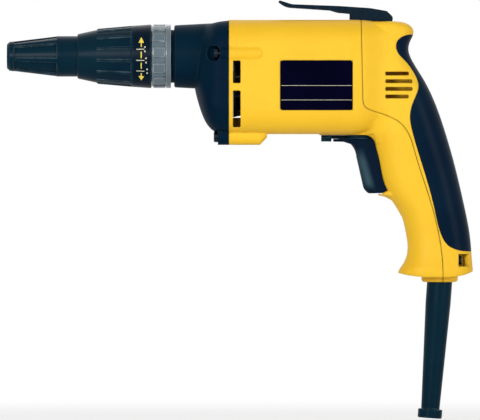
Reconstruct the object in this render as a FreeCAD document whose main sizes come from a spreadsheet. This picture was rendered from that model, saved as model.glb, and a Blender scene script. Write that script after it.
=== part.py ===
"""Drywall screwdriver: a corded power tool with a depth-setting nose.

The spindle's axis is X, the nose points to -X and the handle hangs to -Z. The origin
is the centre of the nose's mouth. All lengths are millimetres, all angles degrees.
"""
import FreeCAD, Part
import Sketcher
import math
import os
import re

Vector = FreeCAD.Vector
doc = FreeCAD.newDocument("drywall_screwdriver")

# Driving sizes: name, number, what it measures
SIZES = (
    ("running_gap", 0.3, "between pieces that turn or slide past each other by hand"),
    ("slip_fit", 0.1, "radial play of pieces that push together"),
    ("bearing_fit", 0.05, "radial play of a shaft in its bearing or bush"),
    ("overrun", 4.0, "how far a cut runs past the wall that it opens"),
    ("nose_bore_radius", 6.0, "mouth of the nosepiece"),
    ("nose_bore_length", 14.0, "straight part of the mouth"),
    ("bit_passage_radius", 7.8, "clear way round the bit holder"),
    ("locator_tip_radius", 9.4, "nosepiece at its tip"),
    ("locator_tip_bevel", 1.6, "worn edge of the tip"),
    ("locator_cone_length", 32.5, "tapered part of the nosepiece"),
    ("locator_radius", 13.2, "straight part of the nosepiece"),
    ("locator_reach", 45.8, "tip to the front of the collar"),
    ("locator_tail_length", 34.0, "part of the nosepiece inside the collar"),
    ("flute_count", 6, "sunk panels round the nosepiece"),
    ("flute_depth", 1.3, "depth of a panel"),
    ("flute_start", 4.6, "tip to the panels"),
    ("flute_sweep", 46.0, "angle that a panel covers"),
    ("flute_turn", 13.0, "panels turned from the upright"),
    ("guide_radius", 10.1, "tube that guides the nosepiece"),
    ("guide_length", 42.0, "length of that tube"),
    ("collar_length", 48.2, "depth collar"),
    ("collar_front_radius", 14.6, "collar at its front"),
    ("collar_shoulder_radius", 17.2, "collar where its ribs start"),
    ("collar_waist_radius", 19.1, "collar between its ribs, at their rear"),
    ("collar_rear_radius", 20.7, "collar at its rear"),
    ("collar_bevel", 0.6, "edge break of the collar"),
    ("rib_start", 12.7, "collar's front to its ribs"),
    ("rib_length", 22.0, "length of a rib"),
    ("rib_height", 0.75, "height of a rib"),
    ("rib_count", 14, "ribs round the collar"),
    ("rib_sweep", 4.6, "angle that a rib covers"),
    ("rib_turn", -3.6, "ribs turned from the upright"),
    ("journal_radius", 16.2, "seat that the collar turns on"),
    ("journal_length", 6.3, "length of that seat"),
    ("ring_radius", 19.75, "detent ring between its lugs"),
    ("ring_length", 12.3, "detent ring"),
    ("ring_flange_length", 3.2, "plain rim at the ring's rear"),
    ("lug_height", 0.9, "grip lugs of the ring"),
    ("lug_count", 12, "grip lugs round the ring"),
    ("lug_sweep", 17.0, "angle that a lug covers"),
    ("lug_turn", -6.5, "lugs turned from the upright"),
    ("spigot_radius", 17.2, "spigot that the nose pushes onto"),
    ("spigot_inset", 3.7, "front of the ring to the front of the spigot"),
    ("snap_wire_radius", 0.6, "wire of the snap ring"),
    ("snap_opening", 40.0, "gap angle of the snap ring"),
    ("neck_gap", 2.1, "ring's rear to the gear case"),
    ("case_length", 35.6, "gear case from its front to the joint"),
    ("case_radius", 20.2, "round front of the gear case"),
    ("case_wall", 5.3, "front wall of the gear case"),
    ("case_mouth_radius", 20.9, "round front where the shoulder starts"),
    ("case_bevel", 0.8, "edge break of the gear case's front"),
    ("case_setback", 0.4, "gear case inside the barrel's section at the joint"),
    ("case_cavity_radius", 17.5, "room for the gears"),
    ("case_shoulder_length", 22.2, "shoulder from its foot to the joint"),
    ("case_shoulder_lean", 9.0, "lean of the shoulder's front edge"),
    ("spindle_reach", 14.0, "spindle ahead of the spigot"),
    ("spindle_radius", 7.0, "front of the spindle"),
    ("hex_flats", 6.35, "quarter inch hexagon"),
    ("socket_clearance", 0.1, "play of a bit across the flats"),
    ("socket_depth", 16.0, "depth of the bit socket"),
    ("socket_bevel", 0.8, "lead-in of the socket"),
    ("bush_wall", 3.0, "wall of the front bush"),
    ("spindle_flange_radius", 11.5, "shoulder that carries the dogs"),
    ("spindle_flange_length", 3.0, "thickness of that shoulder"),
    ("spindle_tail_radius", 4.0, "rear journal of the spindle"),
    ("washer_thickness", 1.2, "thrust washer"),
    ("seat_gap", 0.1, "end play along the spindle"),
    ("dog_inner_radius", 6.6, "clutch dogs, inside"),
    ("dog_outer_radius", 9.4, "clutch dogs, outside"),
    ("dog_length", 2.2, "clutch dogs"),
    ("dog_sweep", 38.0, "angle that a dog covers"),
    ("dog_count", 3, "dogs on each side"),
    ("clutch_gap", 1.6, "air between the dogs at rest"),
    ("clutch_travel", 3.0, "push that closes the clutch"),
    ("spring_wire_radius", 0.4, "clutch spring's wire"),
    ("spring_turns", 3, "clutch spring's turns"),
    ("gear_module", 0.75, "tooth size"),
    ("pinion_teeth", 7, "teeth on the motor shaft"),
    ("gear_teeth", 29, "teeth on the drive gear"),
    ("gear_face", 7.0, "width of the drive gear"),
    ("pinion_face", 8.0, "width of the pinion"),
    ("tooth_shift", 0.5, "profile shift of the pinion, in modules"),
    ("tooth_addendum", 0.85, "tooth height over the pitch line, in modules"),
    ("tooth_dedendum", 1.2, "tooth depth under the pitch line, in modules"),
    ("tooth_backlash", 0.12, "play between teeth at the pitch line"),
    ("pressure_angle", 20.0, "of the teeth"),
    ("rear_bush_length", 6.3, "rear bush of the spindle"),
    ("rear_bush_wall", 2.0, "its wall"),
    ("plate_radius", 27.0, "bearing plate"),
    ("plate_boss_wall", 2.6, "wall round the bushes and bearings"),
    ("plate_hole_radius", 4.6, "hole for the motor shaft"),
    ("bearing_radius", 9.5, "motor bearings"),
    ("bearing_width", 6.0, "motor bearings"),
    ("bearing_inset", 2.8, "bearing plate's front to the front bearing"),
    ("bearing_race", 2.0, "thickness of a bearing's race"),
    ("bearing_groove", 0.5, "sunk shield of a bearing"),
    ("shaft_radius", 4.0, "motor shaft"),
    ("shaft_neck_radius", 3.4, "motor shaft beside the pinion"),
    ("shaft_tail_radius", 3.5, "motor shaft in its rear bearing"),
    ("fan_radius", 26.0, "cooling fan"),
    ("fan_offset", 2.7, "joint plane to the fan"),
    ("fan_length", 8.0, "cooling fan"),
    ("fan_disc", 1.4, "disc of the fan"),
    ("fan_hub_radius", 8.0, "hub of the fan"),
    ("fan_blades", 12, "blades of the fan"),
    ("fan_blade_thickness", 1.2, "a blade"),
    ("baffle_gap", 1.5, "fan to the baffle"),
    ("baffle_thickness", 2.0, "fan baffle"),
    ("baffle_bore", 21.0, "hole of the fan baffle"),
    ("stator_offset", 23.7, "joint plane to the field"),
    ("stator_length", 34.0, "field and armature stacks"),
    ("stator_radius", 28.6, "field stack"),
    ("air_gap", 0.5, "field to armature"),
    ("armature_radius", 16.6, "armature stack"),
    ("armature_slots", 12, "slots of the armature"),
    ("armature_slot_width", 3.2, "a slot"),
    ("armature_slot_depth", 7.0, "a slot"),
    ("winding_overhang", 6.0, "end turns of the coils"),
    ("coil_depth", 6.0, "field coil, radial"),
    ("coil_sweep", 42.0, "angle of a coil side"),
    ("coil_parting", 3.0, "angle between the two coils"),
    ("commutator_radius", 11.0, "commutator"),
    ("commutator_length", 11.0, "commutator"),
    ("commutator_gap", 2.0, "windings to the commutator"),
    ("commutator_bars", 12, "copper bars"),
    ("commutator_slit", 0.6, "slit between bars"),
    ("brush_width", 8.0, "carbon brush along the shaft"),
    ("brush_thickness", 6.0, "carbon brush across the shaft"),
    ("brush_length", 11.0, "carbon brush"),
    ("brush_play", 0.15, "brush in its holder"),
    ("brush_gap", 0.1, "brush to the commutator"),
    ("holder_wall", 1.6, "brush holder"),
    ("holder_length", 15.0, "brush holder"),
    ("holder_gap", 1.5, "commutator to the brush holder"),
    ("web_gap", 1.0, "commutator to the rear web"),
    ("web_thickness", 7.2, "rear web with the bearing seat"),
    ("web_air_radius", 4.6, "air holes of the rear web"),
    ("web_air_circle", 19.0, "circle of the air holes"),
    ("field_web_thickness", 4.0, "webs that hold the field"),
    ("keel_thickness", 3.0, "ribs along the middle, under the fan and behind the vents"),
    ("keel_gap", 0.4, "fan to the rib under it"),
    ("barrel_half_width", 32.0, "barrel of the motor housing"),
    ("barrel_half_height", 37.0, "barrel of the motor housing"),
    ("barrel_corner", 17.0, "rounding along the barrel"),
    ("barrel_length", 105.5, "joint plane to the barrel's end in the handle"),
    ("barrel_straight", 81.0, "joint plane to where the barrel narrows"),
    ("barrel_wall", 3.0, "wall of the barrel"),
    ("column_front", 236.0, "front of the handle, from the nose's mouth"),
    ("column_reach", 66.9, "handle from front to rear"),
    ("column_top", 22.6, "top of the handle over the spindle"),
    ("column_height", 166.2, "handle from its top to its heel"),
    ("column_half_width", 20.6, "handle"),
    ("column_wall", 4.2, "wall of the handle"),
    ("grip_thickness", 2.0, "rubber pad"),
    ("seam_gap", 0.3, "line between the two shells"),
    ("lip_half_width", 12.5, "lip under the trigger"),
    ("lip_corner", 9.5, "rounded front of that lip"),
    ("slot_play", 0.4, "trigger in its slot, each side"),
    ("foot_half_spread", 14.8, "lower screws from the middle"),
    ("foot_radius", 5.2, "lower screw bosses"),
    ("foot_drop", 1.8, "lower screws under the barrel"),
    ("foot_length", 20.2, "lower bosses behind the joint"),
    ("foot_slope", 4.5, "slanted end of the lower bosses"),
    ("side_screw_spread", 28.8, "upper screws from the middle"),
    ("side_screw_rise", 1.6, "upper screws over the spindle"),
    ("side_boss_radius", 5.0, "upper screw bosses"),
    ("side_boss_length", 18.1, "upper bosses behind the joint"),
    ("screw_head_radius", 3.5, "case screws"),
    ("screw_head_height", 2.7, "case screws"),
    ("screw_radius", 2.0, "case screws"),
    ("screw_length", 23.0, "case screws under their heads"),
    ("screw_slot_width", 1.1, "cross recess"),
    ("screw_slot_depth", 1.2, "cross recess"),
    ("screw_flange", 7.2, "case under a screw's head"),
    ("pocket_length", 8.2, "screw pocket ahead of the head's seat"),
    ("vent_offset", 2.6, "joint plane to the front vents"),
    ("vent_width", 4.9, "front vents"),
    ("front_vent_upper_top", -3.1, "height of the upper vent's top"),
    ("front_vent_upper_height", 14.6, "upper vent"),
    ("front_vent_lower_top", -22.5, "height of the lower vent's top"),
    ("front_vent_lower_height", 23.7, "lower vent"),
    ("vent_corner", 0.8, "rounded corners of the vents"),
    ("rear_vent_start", 9.7, "handle's front to the rear vents"),
    ("rear_vent_length", 17.5, "a rear vent"),
    ("rear_vent_height", 2.4, "a rear vent"),
    ("rear_vent_pitch", 4.97, "rear vents apart"),
    ("rear_vent_count", 4, "rear vents on a side"),
    ("rear_vent_top", -10.2, "height of the top vent"),
    ("plate_offset", 33.2, "joint plane to the name plate"),
    ("plate_length", 46.9, "name plate"),
    ("plate_height", 32.2, "name plate"),
    ("plate_top", -3.0, "height of the name plate's top"),
    ("plate_corner", 1.7, "name plate"),
    ("plate_thickness", 0.8, "name plate"),
    ("plate_sink", 0.6, "recess of the name plate"),
    ("platform_front", 203.0, "flat over the trigger, from the nose's mouth"),
    ("platform_length", 40.0, "flat over the trigger"),
    ("platform_half_width", 14.0, "flat over the trigger"),
    ("platform_drop", 0.6, "flat over the trigger"),
    ("hook_front", 222.6, "belt hook's block, from the nose's mouth"),
    ("hook_block_length", 28.0, "belt hook's block"),
    ("hook_half_width", 9.0, "belt hook"),
    ("hook_seat", 22.0, "height of the hook's seat"),
    ("hook_length", 75.0, "belt hook from its tip to its rear"),
    ("hook_height", 14.3, "turned-up tip over the seat"),
    ("hook_screw_sink", 5.5, "hook under a screw's head"),
    ("hook_round", 0.6, "rounded edges of the hook"),
    ("hook_bend", 12.0, "bends of the hook's arm"),
    ("hook_back_round", 3.0, "corners of the hook's block"),
    ("hook_tip_round", 0.6, "corners of the hook's tip"),
    ("hook_screw_front", 3.6, "front screw behind the block's front"),
    ("hook_screw_pitch", 16.0, "hook's screws apart"),
    ("small_head_radius", 2.9, "small screws"),
    ("small_head_height", 2.2, "small screws"),
    ("small_screw_radius", 1.5, "small screws"),
    ("small_screw_length", 14.0, "small screws under their heads"),
    ("small_boss_radius", 3.9, "bosses of the small screws"),
    ("trigger_half_width", 9.6, "trigger"),
    ("trigger_top", -53.75, "height of the trigger's top"),
    ("trigger_height", 35.35, "trigger"),
    ("trigger_front", 212.0, "tip of the trigger's lip, from the nose's mouth"),
    ("trigger_depth", 36.6, "trigger from its lip to its rear"),
    ("trigger_lip_thickness", 1.7, "lip at the trigger's top"),
    ("trigger_round", 4.6, "rounded finger side"),
    ("trigger_hollow", 13.0, "hollow under the lip"),
    ("trigger_toe", 7.6, "rounded lower end"),
    ("trigger_tail", 5.1, "step at the trigger's upper rear"),
    ("trigger_lip_round", 9.0, "rounded corners of the lip"),
    ("trigger_travel", 6.0, "trigger"),
    ("plunger_radius", 2.4, "trigger's plunger"),
    ("plunger_drop", 12.0, "plunger under the trigger's top"),
    ("plunger_engagement", 5.0, "plunger in the switch at rest"),
    ("lever_pivot", 228.6, "reverse lever's pivot, from the nose's mouth"),
    ("lever_top", -51.25, "height of the lever's top"),
    ("lever_thickness", 2.35, "reverse lever"),
    ("lever_hub_radius", 10.4, "reverse lever's hub"),
    ("lever_arm_half_width", 4.0, "reverse lever's arm"),
    ("lever_reach", 24.4, "pivot to the paddle's front"),
    ("lever_paddle_length", 6.6, "paddle"),
    ("lever_paddle_half_width", 11.5, "paddle"),
    ("lever_paddle_drop", 1.0, "paddle's top under the arm's"),
    ("lever_paddle_thickness", 3.1, "paddle"),
    ("lever_pin_radius", 2.6, "reverse lever's pin"),
    ("lever_pin_length", 2.6, "pin in the housing"),
    ("switch_length", 20.0, "switch"),
    ("switch_half_width", 9.5, "switch"),
    ("switch_height", 34.0, "switch"),
    ("switch_drop", 3.2, "switch under the trigger's top"),
    ("switch_gap", 1.6, "pressed trigger to the switch"),
    ("switch_rib_thickness", 4.0, "ribs that hold the switch"),
    ("heel_collar_radius", 11.8, "ring round the cord protector"),
    ("heel_collar_drop", 3.1, "ring under the heel"),
    ("heel_collar_round", 1.9, "rounded lower edge of that ring"),
    ("heel_collar_place", 281.2, "middle of that ring, from the nose's mouth"),
    ("protector_radius", 8.2, "cord protector at its top"),
    ("protector_tip_radius", 6.0, "cord protector above its lip"),
    ("protector_lip_radius", 7.9, "cord protector's lip"),
    ("protector_lip_length", 5.6, "cord protector's lip"),
    ("protector_straight", 13.3, "cord protector before its taper"),
    ("protector_length", 88.6, "cord protector under the ring"),
    ("protector_flange_radius", 9.4, "flange inside the heel"),
    ("protector_flange_length", 2.4, "flange inside the heel"),
    ("protector_neck_length", 9.2, "neck through the heel"),
    ("protector_lean", 4.2, "lean of the cord protector"),
    ("cord_bore_radius", 4.0, "way for the cord"),
    ("heel_screw_spread", 12.6, "heel screws from the middle"),
    ("heel_screw_rise", 11.1, "heel screws over the heel"),
    ("heel_screw_seat", 293.2, "heads of the heel screws, from the nose's mouth"),
    ("heel_recess_length", 8.2, "recess behind the heel screws"),
    ("heel_recess_height", 8.0, "recess behind the heel screws"),
    ("heel_recess_flat", 3.0, "room for the heads before the ramp"),
    ("heel_recess_wall", 2.2, "wall round the recess"),
    ("heel_screw_length", 22.0, "heel screws under their heads"),
    ("clamp_rise", 22.9, "cord clamp over the heel"),
    ("clamp_half_width", 12.5, "cord clamp"),
    ("clamp_height", 7.0, "cord clamp"),
    ("clamp_thickness", 5.0, "cord clamp"),
    ("clamp_screw_spread", 8.8, "clamp screws from the middle"),
)

# Places that follow from the sizes: name, sum
PLACES = (
    ("collar_rear", "locator_reach + collar_length"),
    ("ring_front", "collar_rear + running_gap"),
    ("ring_rear", "ring_front + ring_length"),
    ("spigot_front", "ring_front + spigot_inset"),
    ("case_front", "ring_rear + neck_gap"),
    ("joint_plane", "case_front + case_length"),
    ("cavity_front", "case_front + case_wall"),
    ("spindle_front", "spigot_front - spindle_reach"),
    ("washer_front", "cavity_front + seat_gap"),
    ("flange_front", "washer_front + washer_thickness"),
    ("flange_rear", "flange_front + spindle_flange_length"),
    ("gear_dog_front", "flange_rear + dog_length + clutch_gap"),
    ("gear_front", "gear_dog_front + dog_length"),
    ("gear_rear", "gear_front + gear_face"),
    ("plate_boss_front", "gear_rear + running_gap"),
    ("plate_front", "plate_boss_front + rear_bush_length"),
    ("spindle_rear", "plate_front - clutch_travel - seat_gap"),
    ("motor_drop", "gear_module * (pinion_teeth + gear_teeth) / 2"),
    ("bush_radius", "spindle_radius + bush_wall"),
    ("rear_bush_radius", "spindle_tail_radius + rear_bush_wall"),
    ("front_bearing_front", "plate_front + bearing_inset"),
    ("fan_front", "joint_plane + fan_offset"),
    ("fan_rear", "fan_front + fan_length"),
    ("baffle_front", "fan_rear + baffle_gap"),
    ("stator_front", "joint_plane + stator_offset"),
    ("stator_rear", "stator_front + stator_length"),
    ("commutator_front", "stator_rear + winding_overhang + commutator_gap"),
    ("commutator_rear", "commutator_front + commutator_length"),
    ("web_front", "commutator_rear + web_gap"),
    ("web_rear", "web_front + web_thickness"),
    ("rear_bearing_front", "web_front + seat_gap"),
    ("rear_bearing_rear", "rear_bearing_front + bearing_width"),
    ("barrel_bottom", "-motor_drop - barrel_half_height"),
    ("heel_bottom", "column_top - column_height"),
    ("heel_collar_bottom", "heel_bottom - heel_collar_drop"),
    ("foot_height", "barrel_bottom - foot_drop"),
    ("screw_seat", "joint_plane - screw_flange"),
    ("brush_middle", "commutator_front + commutator_length / 2"),
    ("trigger_rear", "trigger_front + trigger_depth"),
    ("trigger_bottom", "trigger_top - trigger_height"),
    ("switch_front", "trigger_rear + trigger_travel + switch_gap"),
    ("switch_top", "trigger_top - switch_drop"),
    ("hook_tip", "hook_front + hook_block_length + hook_round - hook_length"),
    ("hook_screw_rear", "hook_front + hook_screw_front + hook_screw_pitch"),
    ("heel_screw_height", "heel_bottom + heel_screw_rise"),
    ("clamp_height_place", "heel_bottom + clamp_rise"),
)

# Outlines, as hand-chosen shares of the sizes that they follow
# what the barrel loses of its half width, top, bottom and corner at its rear end
BARREL_end_shares = (0.365, 0.04, 0.20, 0.38)
BARREL_step_shares = (-0.25, 0.0, 0.25, 0.5, 0.75, 1.0)
COLUMN_shares = (
    # down, front, rear, half width, corner
    (0.000, -0.060, 0.254, 0.83, 0.50),
    (0.006, -0.068, 0.341, 0.88, 0.52),
    (0.014, -0.075, 0.379, 0.93, 0.54),
    (0.026, -0.077, 0.408, 0.96, 0.56),
    (0.041, -0.078, 0.420, 0.98, 0.58),
    (0.078, -0.078, 0.388, 1.00, 0.62),
    (0.112, -0.078, 0.372, 1.01, 0.66),
    (0.152, -0.075, 0.407, 1.02, 0.70),
    (0.222, -0.060, 0.513, 1.02, 0.78),
    (0.328, -0.030, 0.640, 1.01, 0.84),
    (0.442, 0.002, 0.737, 0.98, 0.86),
    (0.544, 0.064, 0.810, 0.95, 0.86),
    (0.662, 0.144, 0.882, 0.91, 0.86),
    (0.742, 0.284, 0.926, 0.89, 0.86),
    (0.823, 0.346, 0.964, 0.88, 0.84),
    (0.901, 0.362, 0.984, 0.90, 0.82),
    (0.944, 0.325, 0.992, 0.96, 0.82),
    (0.972, 0.281, 0.997, 1.00, 0.82),
    (1.000, 0.300, 0.980, 0.96, 0.82),
)
HEEL_shares = (
    (0.200, 0.9700),
    (0.290, 0.9845),
    (0.433, 0.9955),
    (0.701, 1.0000),
    (0.880, 0.9935),
    (0.982, 0.9795),
    (1.080, 0.9550),
)
SEAM_shares = (
    # behind the handle's front, down from its top
    (-0.077, 0.296),
    (-0.073, 0.318),
    (-0.056, 0.334),
    (-0.012, 0.346),
    (0.096, 0.360),
    (0.210, 0.378),
    (0.300, 0.402),
    (0.376, 0.446),
    (0.434, 0.518),
    (0.520, 0.628),
    (0.635, 0.782),
    (0.690, 0.908),
    (0.697, 1.060),
)
SEAM_TOP_share = -0.098
HEEL_RAMP_share = 0.45
GRIP_shares = (
    (0.460, 0.0570),
    (0.320, 0.0585),
    (0.258, 0.0800),
    (0.256, 0.1150),
    (0.330, 0.1520),
    (0.427, 0.2050),
    (0.466, 0.2540),
    (0.420, 0.3100),
    (0.384, 0.3680),
    (0.406, 0.4300),
    (0.489, 0.5440),
    (0.626, 0.7410),
    (0.684, 0.8310),
    (0.751, 0.8740),
    (0.855, 0.8940),
    (1.060, 0.8920),
)
LIP_shares = (
    (0.200, 0.600),
    (0.149, 0.637),
    (0.130, 0.659),
    (0.076, 0.669),
    (0.080, 0.679),
    (0.150, 0.686),
    (0.215, 0.701),
    (0.268, 0.736),
    (0.326, 0.776),
)
LIP_REAR_share = 0.62
HOOK_shares = (
    # back from the tip, up from the seat, kind of corner
    (0.619, 0.000, "sharp"),
    (0.984, 0.000, "sharp"),
    (1.000, 0.224, "back"),
    (0.941, 0.517, "back"),
    (0.795, 0.650, "bend"),
    (0.535, 0.741, "bend"),
    (0.119, 0.825, "bend"),
    (0.013, 1.000, "tip"),
    (0.000, 0.923, "tip"),
    (0.067, 0.678, "bend"),
    (0.448, 0.545, "back"),
    (0.515, 0.441, "back"),
    (0.619, 0.392, "sharp"),
)
TRIGGER_shares = (
    # back from the lip's tip, down from the trigger's top, arc to the next point and its turn
    (0.186, 0.050),
    (0.309, 0.092, "trigger_hollow", -1),
    (0.410, 0.324),
    (0.522, 0.833, "trigger_toe", 1),
    (0.634, 1.000),
    (0.900, 0.994),
    (1.000, 0.940),
)
# sections of the gear case's shoulder along its length, and how fast it swells behind its foot
CASE_step_shares = (0.0, 0.1, 0.22, 0.38, 0.58, 0.8, 1.0)
CASE_SWELL_power = 3.6
# lengths of the rear vents' rows, from the top
VENT_row_shares = (0.87, 1.0, 1.0, 0.86)

sheet = doc.addObject("Spreadsheet::Sheet", "Sizes")
places = doc.addObject("Spreadsheet::Sheet", "Places")
OWNER = {}


def formula(text):
    """Point each name in a sum to the sheet that holds it."""
    return re.sub(r"[a-z][a-z_]+", lambda word: OWNER.get(word.group(), word.group()), text)


def value(text):
    """Work out a sum of sizes and places."""
    return float(sheet.evalExpression(formula(text)))


def fill_sheets():
    """Write the driving sizes as plain numbers and the places as sums of them."""
    for row, (alias, number, meaning) in enumerate(SIZES, 1):
        sheet.set(f"A{row}", meaning)
        sheet.set(f"B{row}", str(number))
        sheet.setAlias(f"B{row}", alias)
        OWNER[alias] = f"Sizes.{alias}"
    for row, (alias, total) in enumerate(PLACES, 1):
        places.set(f"B{row}", "=" + formula(total))
        places.setAlias(f"B{row}", alias)
        OWNER[alias] = f"Places.{alias}"
    doc.recompute()


fill_sheets()
BEHIND = Vector(1, 0, 0)
ASIDE = Vector(0, 1, 0)
ABOVE = Vector(0, 0, 1)
QUARTER = 90
pieces = []


def new_body(label, drop=None, turn=None):
    """An empty body; drop lowers it from the spindle's axis and turn rolls it about that axis."""
    body = doc.addObject("PartDesign::Body", label)
    body.Label = label
    if turn:
        body.Placement = FreeCAD.Placement(Vector(), FreeCAD.Rotation(BEHIND, value(turn)))
        body.setExpression("Placement.Rotation.Angle", formula(turn))
    if drop:
        body.setExpression("Placement.Base.z", formula(f"-({drop})"))
    pieces.append(body)
    return body


def origin_feature(body, role):
    """One of a body's own origin planes or axes."""
    return next(item for item in body.Origin.OriginFeatures if item.Role == role)


def pin_point(constraints, bindings, edge, end, across, up):
    """Fix one end of an edge to two sums of sizes."""
    for kind, axis, text in (("DistanceX", -2, across), ("DistanceY", -1, up)):
        if text == "0":
            constraints.append(Sketcher.Constraint("PointOnObject", edge, end, axis))
        else:
            bindings[len(constraints)] = text
            constraints.append(Sketcher.Constraint(kind, -1, 1, edge, end, value(text)))


def arc_between(start, end, radius, turn):
    """The shorter arc from start to end that turns left (1) or right (-1)."""
    chord = end - start
    rise = math.sqrt(max(radius ** 2 - (chord.Length / 2) ** 2, 0))
    side = Vector(-chord.y, chord.x, 0).normalize()
    centre = (start + end) * 0.5 + side * rise * turn
    first, last = (start, end) if turn > 0 else (end, start)
    begin = math.atan2(first.y - centre.y, first.x - centre.x)
    stop = math.atan2(last.y - centre.y, last.x - centre.x)
    return Part.ArcOfCircle(Part.Circle(centre, ABOVE, radius), begin, stop)


def outline(body, name, role, corners, lift=None):
    """A closed sketch through corners of (across, up), or (across, up, radius, turn) before an arc."""
    sketch = body.newObject("Sketcher::SketchObject", name)
    sketch.AttachmentSupport = [(origin_feature(body, role), "")]
    sketch.MapMode = "FlatFace"
    if lift:
        sketch.setExpression("AttachmentOffset.Base.z", formula(lift))
    spots = [Vector(value(corner[0]), value(corner[1]), 0) for corner in corners]
    edges, constraints, bindings, ends = [], [], {}, []
    for index, corner in enumerate(corners):
        start = spots[index]
        end = spots[(index + 1) % len(spots)]
        if len(corner) == 2:
            edges.append(Part.LineSegment(start, end))
            ends.append((1, 2))
        else:
            edges.append(arc_between(start, end, value(corner[2]), corner[3]))
            ends.append((1, 2) if corner[3] > 0 else (2, 1))
    for index, corner in enumerate(corners):
        follower = (index + 1) % len(corners)
        joined = (index, ends[index][1], follower, ends[follower][0])
        constraints.append(Sketcher.Constraint("Coincident", *joined))
        pin_point(constraints, bindings, index, ends[index][0], corner[0], corner[1])
        if len(corner) > 2:
            bindings[len(constraints)] = corner[2]
            constraints.append(Sketcher.Constraint("Radius", index, value(corner[2])))
    sketch.addGeometry(edges, False)
    sketch.addConstraint(constraints)
    for index, text in bindings.items():
        sketch.setExpression(f"Constraints[{index}]", formula(text))
    return sketch


def spin(body, name, kind, corners, sweep=None):
    """Turn a profile about the body's X axis, whole or over an angle, to add or cut."""
    feature_sketch = outline(body, name + "_profile", "XZ_Plane", corners)
    feature = body.newObject("PartDesign::" + kind, name)
    feature.Profile = feature_sketch
    feature.ReferenceAxis = (feature_sketch, ["H_Axis"])
    feature.Angle = 360
    if sweep:
        feature.Midplane = True
        feature.setExpression("Angle", formula(sweep))
    return feature


def repeat(body, name, feature, count):
    """Copy a feature evenly round the body's X axis."""
    pattern = body.newObject("PartDesign::PolarPattern", name)
    pattern.Originals = [feature]
    pattern.Axis = (origin_feature(body, "X_Axis"), [""])
    pattern.Angle = 360
    pattern.setExpression("Occurrences", formula(count))
    body.Tip = pattern
    return pattern


def turned(label, corners, drop=None, turn=None):
    """A turned piece from a profile of (along, radius)."""
    body = new_body(label, drop, turn)
    spin(body, label + "_turning", "Revolution", corners)
    return body


def ring_profile(front, rear, inner, outer):
    """The profile of a plain ring."""
    return [(front, inner), (rear, inner), (rear, outer), (front, outer)]


def extrude(body, name, kind, sketch, length, symmetric=True, backwards=False):
    """Pad or pocket a sketch."""
    feature = body.newObject("PartDesign::" + kind, name)
    feature.Profile = sketch
    feature.SideType = "Symmetric" if symmetric else "One side"
    feature.Reversed = backwards
    feature.setExpression("Length", formula(length))
    return feature


def soften(body, name, base, radius, chosen):
    """Round the edges of the body's last feature that chosen picks."""
    doc.recompute()
    names = [f"Edge{i}" for i, edge in enumerate(base.Shape.Edges, 1) if chosen(edge)]
    fillet = body.newObject("PartDesign::Fillet", name)
    fillet.Base = (base, names)
    fillet.setExpression("Radius", formula(radius))
    return fillet


def along_edge(edge, direction):
    """Whether a straight edge runs along a direction."""
    if edge.Curve.TypeId != "Part::GeomLine":
        return False
    return abs(edge.tangentAt(edge.FirstParameter).dot(direction)) > 0.999


def shaped(label, shape):
    """A piece whose shape is worked out here."""
    feature = doc.addObject("Part::Feature", label)
    feature.Label = label
    feature.Shape = shape
    feature.Placement = shape.Placement
    pieces.append(feature)
    return feature


def rod(start, direction, radius, length):
    """A cylinder from a point along a direction."""
    return Part.makeCylinder(radius, length, start, direction)


def block(low, high):
    """A box between two corners."""
    return Part.makeBox(high.x - low.x, high.y - low.y, high.z - low.z, low)


def make_locator():
    """Nosepiece: a fluted cone with a tail that slides on the guide tube."""
    tail_bore = "guide_radius + running_gap"
    shoulder = "locator_reach + locator_tip_bevel"
    body = turned("locator", [
        ("0", "nose_bore_radius"),
        ("nose_bore_length", "nose_bore_radius"),
        ("nose_bore_length + bit_passage_radius - nose_bore_radius", "bit_passage_radius"),
        (shoulder, "bit_passage_radius"),
        (shoulder, tail_bore),
        ("locator_reach + locator_tail_length", tail_bore),
        ("locator_reach + locator_tail_length", "locator_radius"),
        ("locator_cone_length", "locator_radius"),
        ("locator_tip_bevel", "locator_tip_radius"),
        ("0", "locator_tip_radius - locator_tip_bevel"),
    ], turn="flute_turn")
    rise = "(locator_radius - locator_tip_radius) / (locator_cone_length - locator_tip_bevel)"
    start_radius = f"locator_tip_radius + (flute_start - locator_tip_bevel) * {rise} - flute_depth"
    flute = spin(body, "flute", "Groove", [
        ("flute_start", start_radius),
        ("locator_cone_length", "locator_radius - flute_depth"),
        ("locator_cone_length", "locator_radius + flute_depth"),
        ("flute_start", start_radius + " + flute_depth * 2"),
    ], "flute_sweep")
    repeat(body, "flutes", flute, "flute_count")


def make_depth_collar():
    """Depth collar: a flared sleeve with finger ribs and a smooth band for the print."""
    bore = "locator_radius + running_gap"
    seat = "journal_radius + running_gap"
    step = "locator_reach + rib_start"
    rib_end = "locator_reach + rib_start + rib_length"
    body = turned("depth_collar", [
        ("locator_reach", bore),
        ("collar_rear - journal_length - running_gap", bore),
        ("collar_rear - journal_length - running_gap", seat),
        ("collar_rear", seat),
        ("collar_rear", "collar_rear_radius - collar_bevel"),
        ("collar_rear - collar_bevel", "collar_rear_radius"),
        (rib_end + " + rib_height", "collar_waist_radius + rib_height"),
        (rib_end, "collar_waist_radius"),
        (step, "collar_shoulder_radius"),
        ("locator_reach + collar_bevel", "collar_front_radius"),
        ("locator_reach", "collar_front_radius - collar_bevel"),
    ], turn="rib_turn")
    rib = spin(body, "rib", "Revolution", [
        (step, "collar_shoulder_radius - rib_height"),
        (rib_end + " + rib_height", "collar_waist_radius - rib_height"),
        (rib_end + " + rib_height", "collar_waist_radius + rib_height"),
        (step + " + rib_height", "collar_shoulder_radius + rib_height"),
        (step, "collar_shoulder_radius + rib_height / 3"),
    ], "rib_sweep")
    repeat(body, "ribs", rib, "rib_count")


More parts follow.
